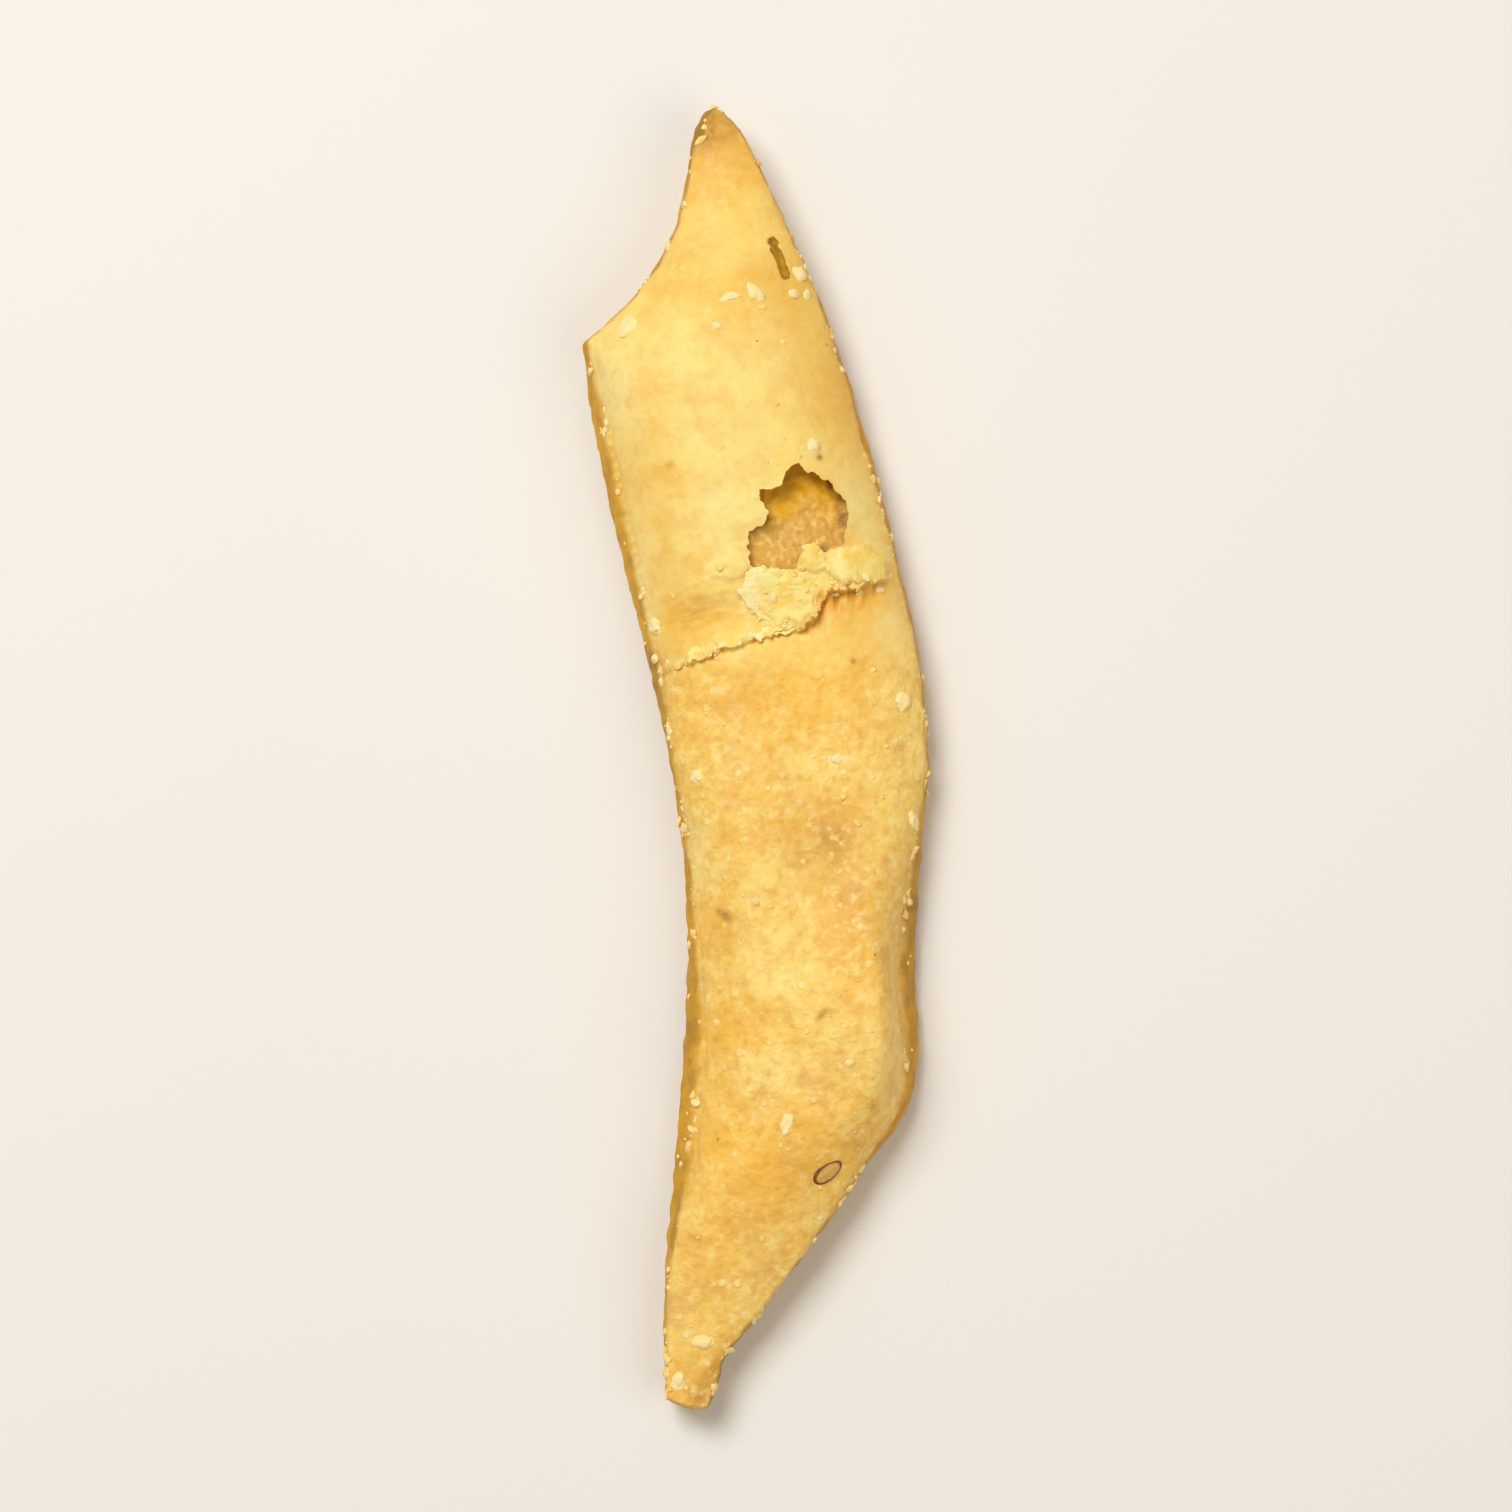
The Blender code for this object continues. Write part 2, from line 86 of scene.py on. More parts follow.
MM = 0.001  # one millimetre in metres
MIDDLE = (0.124, -0.165)  # the frame's origin in the strip's own mm
BODY = "root"
NOISE_SEED = 10  # makes noise vectors the same each time
SHARP_ANGLE = math.radians(60)  # edges sharper than this stay sharp
PLATEAU_RIM = (0.8, 1.1)  # in a spot's half sizes, where its plateau ends
GRAIN_SWING = (0.3, 0.7)  # between these the grain turns a surface from its least rough to its most

Points = Sequence[tuple[float, float]]
Factor = float | str | tuple[str, float, float, float, float]


class Noise(Enum):
    """Where in the noise field each kind of unevenness is read, so that no two agree."""

    BELLY = 1
    TEAR = 3
    LIP = 4
    CRUMBLE = 5
    POCKET = 7
    FLAKE = 9
    LUMPS = 12
    FROTH = 15
    BROWNING = 18
    WRINKLES = 21
    LAYERS = 24
    PLATE = 27
    CLUSTERS = 30


def smooth_step(value: np.ndarray, low: float, high: float) -> np.ndarray:
    """Returns 0 below low and 1 above high, with a smooth rise between."""
    share = np.clip((value - low) / (high - low), 0, 1)
    return share * share * (3 - 2 * share)


def noise_at(points: np.ndarray, spacing: float | tuple[float, ...], kind: Noise) -> np.ndarray:
    """Reads smooth noise.

    Args:
        points: places in mm, a row for each.
        spacing: how far apart its lumps are, in mm, in all directions or in x, y and z.
        kind: which part of the noise field to read.

    Returns:
        About -1 to 1 for each point.
    """
    places = points / np.asarray(spacing) + kind.value * np.array((1.0, 2.3, 5.1))
    return np.array([noise.noise(place) for place in places.tolist()])


def lumps_at(points: np.ndarray, sizes: Points, kind: Noise) -> np.ndarray:
    """Returns the height of lumps of several sizes, each a spacing and a height in mm."""
    return sum(height * noise_at(points, spacing, kind) for spacing, height in sizes)


def flat_points(x: np.ndarray, y: np.ndarray) -> np.ndarray:
    """Returns points at these places, at no height."""
    return np.column_stack((x, y, np.zeros_like(x)))


def profile(places: np.ndarray, table: Points) -> np.ndarray:
    """Returns the value at each place, from a table of places and values."""
    return np.interp(places, *zip(*table))


@dataclass(frozen=True)
class Uneven:
    """A share that varies from place to place: its mean, its swing and its lumps' spacing in mm."""

    mean: float
    swing: float
    spacing: float | tuple[float, ...]
    kind: Noise

    def at(self, points: np.ndarray) -> np.ndarray:
        """Returns the share at each point."""
        return self.mean + self.swing * noise_at(points, self.spacing, self.kind)


@dataclass(frozen=True)
class Spot:
    """An oval place on the strip, seen from above, with what it adds there.

    Attributes:
        x: its middle across the strip, in mm.
        y: its middle along it, in mm.
        half_width: half its width, in mm.
        half_length: half its length, in mm.
        turn: how far its length is turned anticlockwise from +Y, in degrees.
        amount: a height in mm, or a share of browning.
    """

    x: float
    y: float
    half_width: float
    half_length: float
    turn: float
    amount: float

    def local(self, x: np.ndarray, y: np.ndarray) -> tuple[np.ndarray, np.ndarray]:
        """Turns places into this spot's own directions.

        Args:
            x: places across the strip, in mm.
            y: places along it, in mm.

        Returns:
            How far each place is across and along the spot, in its half sizes.
        """
        turn = math.radians(self.turn)
        across = (x - self.x) * math.cos(turn) + (y - self.y) * math.sin(turn)
        along = (y - self.y) * math.cos(turn) - (x - self.x) * math.sin(turn)
        return across / self.half_width, along / self.half_length

    def mound(self, x: np.ndarray, y: np.ndarray, spread: float = 1.0) -> np.ndarray:
        """Returns 1 at the spot's middle, falling off smoothly around it."""
        across, along = self.local(x, y)
        return np.exp(-(across**2 + along**2) / spread)

    def plateau(self, x: np.ndarray, y: np.ndarray, ragged: np.ndarray) -> np.ndarray:
        """Returns 1 within the spot and 0 outside its ragged outline."""
        return 1 - smooth_step(np.hypot(*self.local(x, y)) + ragged, *PLATEAU_RIM)


def spots(*rows: tuple[float, ...]) -> tuple[Spot, ...]:
    """Returns a spot for each row of its six values."""
    return tuple(Spot(*row) for row in rows)


def mounds(places: Sequence[Spot], x: np.ndarray, y: np.ndarray) -> np.ndarray:
    """Returns what several spots add together, each falling off smoothly from its middle."""
    return sum(spot.amount * spot.mound(x, y) for spot in places)


def plateaus(places: Sequence[Spot], x: np.ndarray, y: np.ndarray, ragged: np.ndarray) -> np.ndarray:
    """Returns what several spots add together, each even out to its ragged outline."""
    return sum(spot.amount * spot.plateau(x, y, ragged) for spot in places)


def gaps_to_edges(outline: np.ndarray, x: np.ndarray, y: np.ndarray) -> tuple[np.ndarray, np.ndarray]:
    """Measures how far places are from each edge of an outline.

    Args:
        outline: its corners, in mm, a row for each.
        x: places across the strip, in mm.
        y: places along it, in mm.

    Returns:
        The gaps to the edges and to their middles, with a row for each place.
    """
    run = np.roll(outline, -1, axis=0) - outline
    away = np.stack((x, y), axis=1)[:, None] - outline
    share = np.clip((away * run).sum(2) / (run**2).sum(axis=1), 0, 1)
    gaps = np.linalg.norm(away - share[..., None] * run, axis=2)
    return gaps, np.linalg.norm(away - run / 2, axis=2)


def ragged_outline(corners: Points, step: float, ragged: Points) -> np.ndarray:
    """Tears the outline between some corners.

    Args:
        corners: the outline's corners, in mm.
        step: the distance between its new points, in mm.
        ragged: pairs of the spacing of the jags and how far they reach, in mm.

    Returns:
        The torn outline's points, in mm, a row for each.
    """
    points = []
    outline = np.array(corners)
    for start, end in zip(outline, np.roll(outline, -1, axis=0)):
        count = max(2, round(float(np.linalg.norm(end - start)) / step))
        for number in range(count):
            x, y = start + (end - start) * number / count
            for spacing, reach in ragged:
                shift = reach * noise.noise_vector((x / spacing, y / spacing, 0))
                x, y = x + shift.x, y + shift.y
            points.append((x, y))
    return np.array(points)


def vertex_array(mesh: bpy.types.Mesh) -> np.ndarray:
    """Reads a mesh's points.

    Args:
        mesh: the mesh to read.

    Returns:
        The points, a row for each.
    """
    points = np.empty(len(mesh.vertices) * 3)
    mesh.vertices.foreach_get("co", points)
    return points.reshape(-1, 3)


def move_vertices(mesh: bpy.types.Mesh, points: np.ndarray) -> None:
    """Puts the mesh's points at these places."""
    mesh.vertices.foreach_set("co", np.asarray(points).ravel())
    mesh.update()


def set_share(mesh: bpy.types.Mesh, name: str, shares: np.ndarray | float) -> None:
    """Keeps a share for each point of a mesh as a named attribute, for its material.

    Args:
        mesh: the mesh to keep it on.
        name: the attribute's name.
        shares: the share of each point, or one share for all.
    """
    attribute = mesh.attributes.get(name) or mesh.attributes.new(name, "FLOAT", "POINT")
    values = np.broadcast_to(np.asarray(shares, np.float32), len(mesh.vertices))
    attribute.data.foreach_set("value", np.ascontiguousarray(values))


def get_share(mesh: bpy.types.Mesh, name: str) -> np.ndarray:
    """Reads one of a mesh's named attributes.

    Args:
        mesh: the mesh to read.
        name: the attribute's name.

    Returns:
        A share for each point.
    """
    values = np.empty(len(mesh.vertices), np.float32)
    mesh.attributes[name].data.foreach_get("value", values)
    return values


def make_active(*pieces: bpy.types.Object) -> None:
    """Selects these pieces alone and makes the first of them the active one.

    Args:
        *pieces: the pieces.
    """
    bpy.ops.object.select_all(action="DESELECT")
    for piece in pieces:
        piece.select_set(True)
    bpy.context.view_layer.objects.active = pieces[0]


def add_alone(operator: Callable, **settings: object) -> bpy.types.Object:
    """Adds an object by one of Blender's operators, with everything deselected first.

    Args:
        operator: the operator.
        **settings: the operator's own settings.

    Returns:
        The new object.
    """
    bpy.ops.object.select_all(action="DESELECT")
    operator(**settings)
    return bpy.context.active_object


def apply_modifier(piece: bpy.types.Object, name: str) -> None:
    """Applies one of a piece's modifiers."""
    make_active(piece)
    bpy.ops.object.modifier_apply(modifier=name)


def prism(name: str, outline: np.ndarray, low: float, high: float) -> bpy.types.Object:
    """Cuts an upright block to an outline.

    Args:
        name: the object's name.
        outline: its corners from above, in mm, a row for each.
        low: the height of its foot, in mm.
        high: the height of its top, in mm.

    Returns:
        A closed block, in mm.
    """
    ring = {"vertices": len(outline), "radius": 1, "fill_type": "NGON"}
    block = add_alone(bpy.ops.mesh.primitive_circle_add, **ring)
    block.name = name
    move_vertices(block.data, np.column_stack((outline, np.full(len(outline), low))))
    bpy.ops.object.mode_set(mode="EDIT")
    bpy.ops.mesh.select_all(action="SELECT")
    bpy.ops.mesh.extrude_region_move(TRANSFORM_OT_translate={"value": (0, 0, high - low)})
    bpy.ops.mesh.select_all(action="SELECT")
    bpy.ops.mesh.normals_make_consistent(inside=False)
    bpy.ops.object.mode_set(mode="OBJECT")
    return block


def remesh(piece: bpy.types.Object, cell: float) -> None:
    """Gives a piece an even skin of small faces.

    Args:
        piece: the piece.
        cell: the width of a face, in mm.
    """
    cells = piece.modifiers.new("cells", "REMESH")
    cells.mode = "VOXEL"
    cells.voxel_size = cell
    apply_modifier(piece, cells.name)


def divide_faces(piece: bpy.types.Object, chosen: np.ndarray) -> None:
    """Divides some of a piece's faces in four, where it needs finer relief.

    Args:
        piece: the piece.
        chosen: for each of its faces, whether to divide it.
    """
    make_active(piece)
    bpy.context.tool_settings.mesh_select_mode = (False, False, True)
    bpy.ops.object.mode_set(mode="EDIT")
    bpy.ops.mesh.select_all(action="DESELECT")
    bpy.ops.object.mode_set(mode="OBJECT")
    piece.data.polygons.foreach_set("select", chosen)
    bpy.ops.object.mode_set(mode="EDIT")
    bpy.ops.mesh.subdivide(number_cuts=1)
    bpy.ops.object.mode_set(mode="OBJECT")


def cut_away(body: bpy.types.Object, cutter: bpy.types.Object) -> None:
    """Cuts one object's shape out of another, and removes the cutter.

    Args:
        body: the object that is cut.
        cutter: the shape that is cut out.
    """
    step = body.modifiers.new("cut", "BOOLEAN")
    step.operation = "DIFFERENCE"
    step.object = cutter
    apply_modifier(body, step.name)
    bpy.data.objects.remove(cutter)


def join(name: str, pieces: list[bpy.types.Object]) -> bpy.types.Object:
    """Joins pieces to one.

    Args:
        name: the joined piece's name.
        pieces: the pieces.

    Returns:
        The joined piece.
    """
    make_active(*pieces)
    bpy.ops.object.join()
    pieces[0].name = name
    return pieces[0]


def lay_down(
    mesh: bpy.types.Mesh, place: Sequence[float], outwards: Vector, turn: float, sizes: tuple[float, ...]
) -> None:
    """Sizes a mesh made round the origin, and lays it on a surface.

    Args:
        mesh: the mesh, with its foot towards -Z.
        place: where its middle goes, in mm.
        outwards: the way out of the surface there.
        turn: how far it is turned about that, in radians.
        sizes: how far it grows in its own x, y and z.
    """
    upright = Vector((0, 0, 1)).rotation_difference(outwards).to_matrix().to_4x4()
    turned = upright @ Matrix.Rotation(turn, 4, "Z")
    mesh.transform(Matrix.Translation(place) @ turned @ Matrix.Diagonal((*sizes, 1)))


def dress(piece: bpy.types.Object, material: bpy.types.Material) -> None:
    """Smooths a piece's faces, but not over sharp edges, and gives it its material.

    Args:
        piece: the piece.
        material: its material.
    """
    make_active(piece)
    bpy.ops.object.shade_smooth_by_angle(angle=SHARP_ANGLE)
    piece.data.materials.clear()
    piece.data.materials.append(material)


@dataclass(frozen=True)
class Corner:
    """A corner of the cut outline, and how far the side after it bows outwards, in mm."""

    x: float
    y: float
    bow: float
    narrowness: int = 1


@dataclass
class CutOutline:
    """The strip's outline from above: a long slant-cut diamond, bowed to one side."""

    corners: tuple[Corner, ...] = (
        Corner(-4.8, -35.4, 0.25),
        Corner(-2.5, -35.9, 0.1),
        Corner(-1.6, -33.2, 0.15),
        Corner(6.5, -22.4, 0.9),
        Corner(9.3, -15.5, -0.1),
        Corner(9.1, -9.5, 0.0),
        Corner(9.75, -1.0, 0.4),
        Corner(8.2, 10.0, 0.95),
        Corner(0.1, 32.9, 0.3),
        Corner(-2.2, 35.8, 0.1),
        Corner(-3.05, 35.2, 0.1),
        Corner(-3.5, 33.9, -1.6),
        Corner(-9.6, 22.8, -3.2, 2),
    )
    step: float = 0.6  # mm between points
    edge_blend: float = 1.0  # how far the rises from neighbouring edges run into each other
    turn_blend: float = 0.6  # the same for the ways in from them
    deepest: int = 12  # mm in from a straight edge to which its felt distance is worked out
    felt_length: int = 30  # mm of that edge to each side that are felt
    felt_step: float = 0.05
    batch: int = 6000  # places worked out at a time, to spare memory
    points: np.ndarray = field(init=False)
    straight: tuple[np.ndarray, np.ndarray] = field(init=False)

    def __post_init__(self) -> None:
        """Walks the outline, and works out how a long straight edge is felt."""
        points = []
        for corner, following in zip(self.corners, self.corners[1:] + self.corners[:1]):
            start = np.array((corner.x, corner.y))
            run = np.array((following.x, following.y)) - start
            length = np.linalg.norm(run)
            outwards = np.array((run[1], -run[0])) / length
            for share in np.arange(0, 1 - 1e-6, 1 / max(2, round(length / self.step))):
                bow = corner.bow * math.sin(math.pi * share) ** corner.narrowness
                points.append(start + share * run + bow * outwards)
        self.points = np.array(points)
        depths = np.linspace(0, self.deepest, 10 * self.deepest + 1)
        along = np.arange(-self.felt_length, self.felt_length, self.felt_step)
        felt = np.exp(-np.hypot(depths[:, None], along) / self.edge_blend).sum(axis=1) * self.felt_step
        self.straight = (-self.edge_blend * np.log(felt), depths)

    def distances(self, x: np.ndarray, y: np.ndarray) -> tuple[np.ndarray, ...]:
        """Measures in from the outline.

        Args:
            x: places across the strip, in mm.
            y: places along it, in mm.

        Returns:
            The distance in from the nearest edge, the same blended where edges meet, and the x
            and y of the way inwards.
        """
        run = np.roll(self.points, -1, axis=0) - self.points
        lengths = np.linalg.norm(run, axis=1)
        inwards = np.column_stack((-run[:, 1], run[:, 0])) / lengths[:, None]
        parts = []
        for start in range(0, len(x), self.batch):
            end = start + self.batch
            gaps, to_middles = gaps_to_edges(self.points, x[start:end], y[start:end])
            nearest = gaps.min(axis=1)
            direction = np.exp((nearest[:, None] - gaps) / self.turn_blend) @ inwards
            direction /= np.linalg.norm(direction, axis=1)[:, None]
            felt = np.exp(-to_middles / self.edge_blend) @ lengths
            blended = np.interp(-self.edge_blend * np.log(felt), *self.straight)
            parts.append((nearest, blended, direction[:, 0], direction[:, 1]))
        return tuple(np.concatenate(column) for column in zip(*parts))


@dataclass
class PuffedStrip:
    """How frying shapes the cut strip: its crown, bulges, lean, curl, tear and flakes, in mm."""

    outline: CutOutline = field(default_factory=CutOutline)
    # The dough
    dough: float = 3.0  # thickness at the cut edges
    tip_dough: float = 2.1
    tip_taper: float = 9.0
    half_length: float = 36.0
    # The puffed top
    dome_reach: float = 4.9  # distance in from a cut edge at which the top is fully risen
    swell_reach: float = 1.9
    swell_spread: float = 2.0
    crown: Points = (
        (-36, 0.1), (-29, 0.7), (-22, 1.9), (-14, 2.6), (-6, 2.3), (2, 1.9),
        (6, 2.2), (11, 3.1), (19, 3.5), (26, 2.7), (31, 1.2), (36, 0.2),
    )  # fmt: skip
    crown_blur: float = 2.0
    crown_readings: int = 5  # places along the blur at which the crown is read
    swelling: Spot = Spot(5.8, -14.6, 3.8, 6.0, 6, 0.75)
    bulges: tuple[Spot, ...] = (
        Spot(-1.8, 18.5, 3.6, 8.0, 8, 0.55),  # the blister stands highest left of the middle
        Spot(-1.0, -3.0, 2.6, 6.0, 4, 0.45),
        Spot(4.6, -6.5, 2.2, 4.5, -30, -0.55),  # shallow trough across the lower half
        Spot(-0.5, 7.3, 4.0, 1.6, 10, -0.45),  # fallen skin beside the tear
        Spot(-2.8, -11.5, 2.0, 3.4, 20, -0.35),
    )
    # How far the cut edges lean in by their tops, along the left and the right side
    left_lean: Points = (
        (-36, 0.2), (-28, 0.55), (-23, 1.5), (-16, 1.5), (-10, 0.9), (0, 0.6),
        (11, 1.15), (19, 1.15), (24, 0.5), (32, 0.45), (33.3, 0.45), (34.4, 1.1), (35.4, 0.8),
    )  # fmt: skip
    right_lean: Points = (
        (-36, 0.2), (-24, 0.4), (-18, 1.2), (-12, 1.4), (-6, 0.9), (0, 0.4),
        (12, 0.5), (18, 0.75), (24, 0.45), (34, 0.2),
    )  # fmt: skip
    side_blend: float = 0.4  # how near a way inwards may be to +Y or -Y before both sides count
    lean_bend: float = 1.5  # above 1, an edge leans most near its top
    edge_swell: float = 0.25  # how far frying swells the cut edges out past the line of the cut
    undercut: float = 0.3
    lean_reach: float = 1.8
    wall_depth: tuple[float, float] = (0.05, 0.35)  # how far in a cut edge turns to top or underside
    wall_level: float = 0.99  # share of the dough's height up to which it is still a cut edge
    wall_blend: float = 0.35
    # The underside
    belly: float = 0.7
    edge_lift: float = 0.5
    belly_lumps: Points = ((5.0, 0.14),)
    rest_centre: float = -1.0
    rest_half_length: float = 13.0
    narrow_lift: float = 1.9
    blunt_lift: float = 1.1
    lift_twist: float = 0.05
    # Relief, as spacing and height, from the lumps that the solid has down to the grain
    lumps: Points = ((6.0, 0.20), (2.3, 0.09), (0.9, 0.035))
    sandy_lumps: Points = ((0.8, 0.05), (0.42, 0.05))
    sandy_below: tuple[float, float] = (3.0, 6.5)  # the top is smooth above here and sandy below
    smooth_sand: float = 0.4  # share of the sandy relief that the smooth top has
    edge_lumps: float = 0.4
    edge_crumble: float = 0.11
    crumbling: Uneven = Uneven(1.0, 1.0, 0.8, Noise.CRUMBLE)
    crumble_reach: float = 0.4
    layer_depth: float = 0.09
    layering: Uneven = Uneven(0.5, 1.0, (1.8, 1.8, 0.4), Noise.LAYERS)  # the dough's layers show there
    # The tear
    tear: Points = (
        (-5.8, 4.2), (-4.0, 4.8), (-0.5, 5.9), (2.6, 6.8), (3.4, 7.3), (4.1, 8.7), (6.2, 9.1), (7.8, 9.5),
    )  # fmt: skip
    tear_ragged: Points = ((0.75, 0.3), (0.4, 0.18), (0.2, 0.1))
    tear_step: float = 0.08
    tear_fade: float = 1.6
    tear_height: Points = ((-5.8, 0.55), (-1.0, 0.6), (2.0, 0.9), (7.8, 1.0))  # share of its full height
    lip: float = 0.36
    lip_reach: float = 1.2
    lip_uneven: Uneven = Uneven(1.0, 0.8, 0.8, Noise.LIP)
    crevice: float = 0.45
    crevice_uneven: Uneven = Uneven(0.8, 1.6, 0.8, Noise.TEAR)  # it is broken up along its length
    crevice_reach: Points = ((-5.8, 0.16), (2.0, 0.25), (4.0, 0.9), (7.8, 0.6))
    # Loose plates of broken skin
    flakes: tuple[Spot, ...] = spots(
        (1.6, 8.5, 2.1, 1.6, 0, 0.24), (5.7, 10.2, 1.7, 1.0, 5, 0.28), (3.3, 10.4, 0.7, 0.7, 0, 0.16),
        (-1.1, 10.0, 0.9, 0.7, 0, 0.12), (-3.1, 5.5, 0.9, 0.4, 12, 0.14), (-1.2, 6.1, 0.9, 0.35, 18, 0.14),
    )  # fmt: skip
    flake_ragged: Points = ((0.75, 0.25),)
    # Frothy, broken dough round the hole and along the lip
    froth: tuple[Spot, ...] = spots(
        (1.6, 8.4, 2.4, 1.8, 0, 1.0), (5.8, 10.3, 1.9, 1.2, 10, 1.0),
        (3.3, 10.6, 0.9, 0.9, 0, 0.8), (-1.3, 10.1, 1.3, 0.8, 10, 0.95),
    )  # fmt: skip
    froth_ragged: Points = ((0.9, 0.35), (0.35, 0.2))
    froth_height: float = 0.1
    froth_uneven: Uneven = Uneven(0.5, 1.0, 0.42, Noise.FROTH)
    wrinkled: Spot = Spot(-2.9, 7.8, 2.8, 1.6, 14, 0.08)
    wrinkle_spacing: tuple[float, ...] = (1.3, 0.36, 1.0)
    combed: Spot = Spot(5.1, 8.5, 1.4, 0.7, 8, 0.1)  # skin drawn out in strands below a torn plate
    strands: Uneven = Uneven(0.5, 2.6, (0.2, 1.3, 1.3), Noise.LIP)
    seed_dent: Spot = Spot(4.1, -23.0, 0.7, 1.2, -54, -0.06)  # the dough sinks round the seed

    def edge_height(self, y: np.ndarray) -> np.ndarray:
        """Returns the height of the cut edge, which thins at both ends."""
        taper = smooth_step(self.half_length - np.abs(y), 0, self.tip_taper)
        return self.tip_dough + (self.dough - self.tip_dough) * taper

    def end_lift(self, x: np.ndarray, y: np.ndarray) -> np.ndarray:
        """Works out how far the two ends curl up off the resting face.

        Args:
            x: places across the strip, in mm.
            y: places along it, in mm.

        Returns:
            The height at each place, in mm.
        """
        past = np.abs(y - self.rest_centre) - self.rest_half_length
        share = np.maximum(past, 0) / (self.half_length - self.rest_half_length)
        height = np.where(y > self.rest_centre, self.narrow_lift, self.blunt_lift)
        return height * share**2 * (1 - self.lift_twist * x * np.sign(y))

    @staticmethod
    def dome(inside: np.ndarray, reach: np.ndarray | float) -> np.ndarray:
        """Returns the share of the full rise at a distance in from the cut edge."""
        return 1 - (1 - np.minimum(inside / reach, 1)) ** 2

    def smooth_top(self, x: np.ndarray, y: np.ndarray, inside: np.ndarray) -> np.ndarray:
        """Works out the puffed top without its torn skin.

        Args:
            x: places across the strip, in mm.
            y: places along it, in mm.
            inside: how far in from the cut edges they are, in mm.

        Returns:
            The height of the top there, in mm.
        """
        shifts = np.linspace(-self.crown_blur, self.crown_blur, self.crown_readings)
        crown = np.mean([profile(y + shift, self.crown) for shift in shifts], axis=0)
        steeper = self.swelling.mound(x, y, self.swell_spread)
        rise = self.dome(inside, self.dome_reach + (self.swell_reach - self.dome_reach) * steeper)
        bulges = mounds((self.swelling, *self.bulges), x, y)
        return self.end_lift(x, y) + self.edge_height(y) + crown * rise + bulges * np.sqrt(rise)

    def above_tear(self, x: np.ndarray, y: np.ndarray) -> np.ndarray:
        """Returns how far each place is up the strip from the ragged tear, in mm."""
        return y - profile(x, self.tear) + lumps_at(flat_points(x, y), self.tear_ragged, Noise.TEAR)

    def tear_ends(self, x: np.ndarray) -> np.ndarray:
        """Fades the tear out at its two ends.

        Args:
            x: places across the strip, in mm.

        Returns:
            1 along the tear, down to 0 at its ends.
        """
        start, end = self.tear[0][0], self.tear[-1][0]
        rising = smooth_step(x, start, start + self.tear_fade)
        return rising * smooth_step(end - x, 0, self.tear_fade)

    def crevice_share(self, x: np.ndarray, above: np.ndarray) -> np.ndarray:
        """Works out how deep in the tear's crevice each place is.

        Args:
            x: places across the strip, in mm.
            above: how far each place is up from the tear, in mm.

        Returns:
            0 to 1 for each place.
        """
        opened = 1 - smooth_step(above, -self.tear_step, self.tear_step)
        broken = np.clip(self.crevice_uneven.at(flat_points(x, x)), 0, 1)
        deep = np.exp(np.minimum(above, 0) / profile(x, self.crevice_reach))
        return deep * opened * self.tear_ends(x) * broken

    def torn_skin(self, x: np.ndarray, y: np.ndarray) -> np.ndarray:
        """Works out what the tear and the loose flakes add to the top.

        Args:
            x: places across the strip, in mm.
            y: places along it, in mm.

        Returns:
            The height at each place, in mm.
        """
        points = flat_points(x, y)
        above = self.above_tear(x, y)
        torn = smooth_step(above, -self.tear_step, self.tear_step)
        lip = self.lip * self.lip_uneven.at(points) * np.exp(-np.maximum(above, 0) / self.lip_reach)
        lip = lip * torn * self.tear_ends(x)
        height = (lip - self.crevice * self.crevice_share(x, above)) * profile(x, self.tear_height)
        return height + plateaus(self.flakes, x, y, lumps_at(points, self.flake_ragged, Noise.FLAKE))

    def frothiness(self, x: np.ndarray, y: np.ndarray) -> np.ndarray:
        """Returns how frothy and broken the dough is at each place, from 0 to 1."""
        ragged = lumps_at(flat_points(x, y), self.froth_ragged, Noise.FROTH)
        return np.clip(plateaus(self.froth, x, y, ragged), 0, 1)

    def wrinkle(self, x: np.ndarray, y: np.ndarray) -> np.ndarray:
        """Wrinkles the fallen skin.

        Args:
            x: places across the strip, in mm.
            y: places along it, in mm.

        Returns:
            The wrinkles' height at each place, about -1 to 1.
        """
        across, along = self.wrinkled.local(x, y)
        places = flat_points(across * self.wrinkled.half_width, along * self.wrinkled.half_length)
        fine = noise_at(2 * places, self.wrinkle_spacing, Noise.PLATE)
        return noise_at(places, self.wrinkle_spacing, Noise.WRINKLES) + fine / 2

    def comb(self, x: np.ndarray, y: np.ndarray) -> np.ndarray:
        """Returns how deep between the drawn-out strands of skin each place is, from 0 to 1."""
        return self.combed.mound(x, y) * np.clip(self.strands.at(flat_points(x, y)), 0, 1)

    def sandiness(self, y: np.ndarray) -> np.ndarray:
        """Returns how sandy the top is at each place, from its least share to 1."""
        return 1 - (1 - self.smooth_sand) * smooth_step(y, *self.sandy_below)

    def fine_relief(self, points: np.ndarray, inside: np.ndarray) -> np.ndarray:
        """Works out the relief that the solid hasn't got.

        Args:
            points: places in the flat strip, in mm.
            inside: how far in from the cut edges they are, in mm.

        Returns:
            The height that sand, froth, wrinkles and the seed's dent add to the top, in mm.
        """
        x, y, _ = points.T
        grain = lumps_at(points, self.sandy_lumps, Noise.LUMPS) * self.sandiness(y)
        froth = self.froth_height * (self.frothiness(x, y) * self.froth_uneven.at(points))
        wrinkles = self.wrinkled.amount * (self.wrinkled.mound(x, y) * self.wrinkle(x, y))
        relief = grain + froth + wrinkles - self.combed.amount * self.comb(x, y)
        return relief * smooth_step(inside, 0, 1) + mounds([self.seed_dent], x, y)

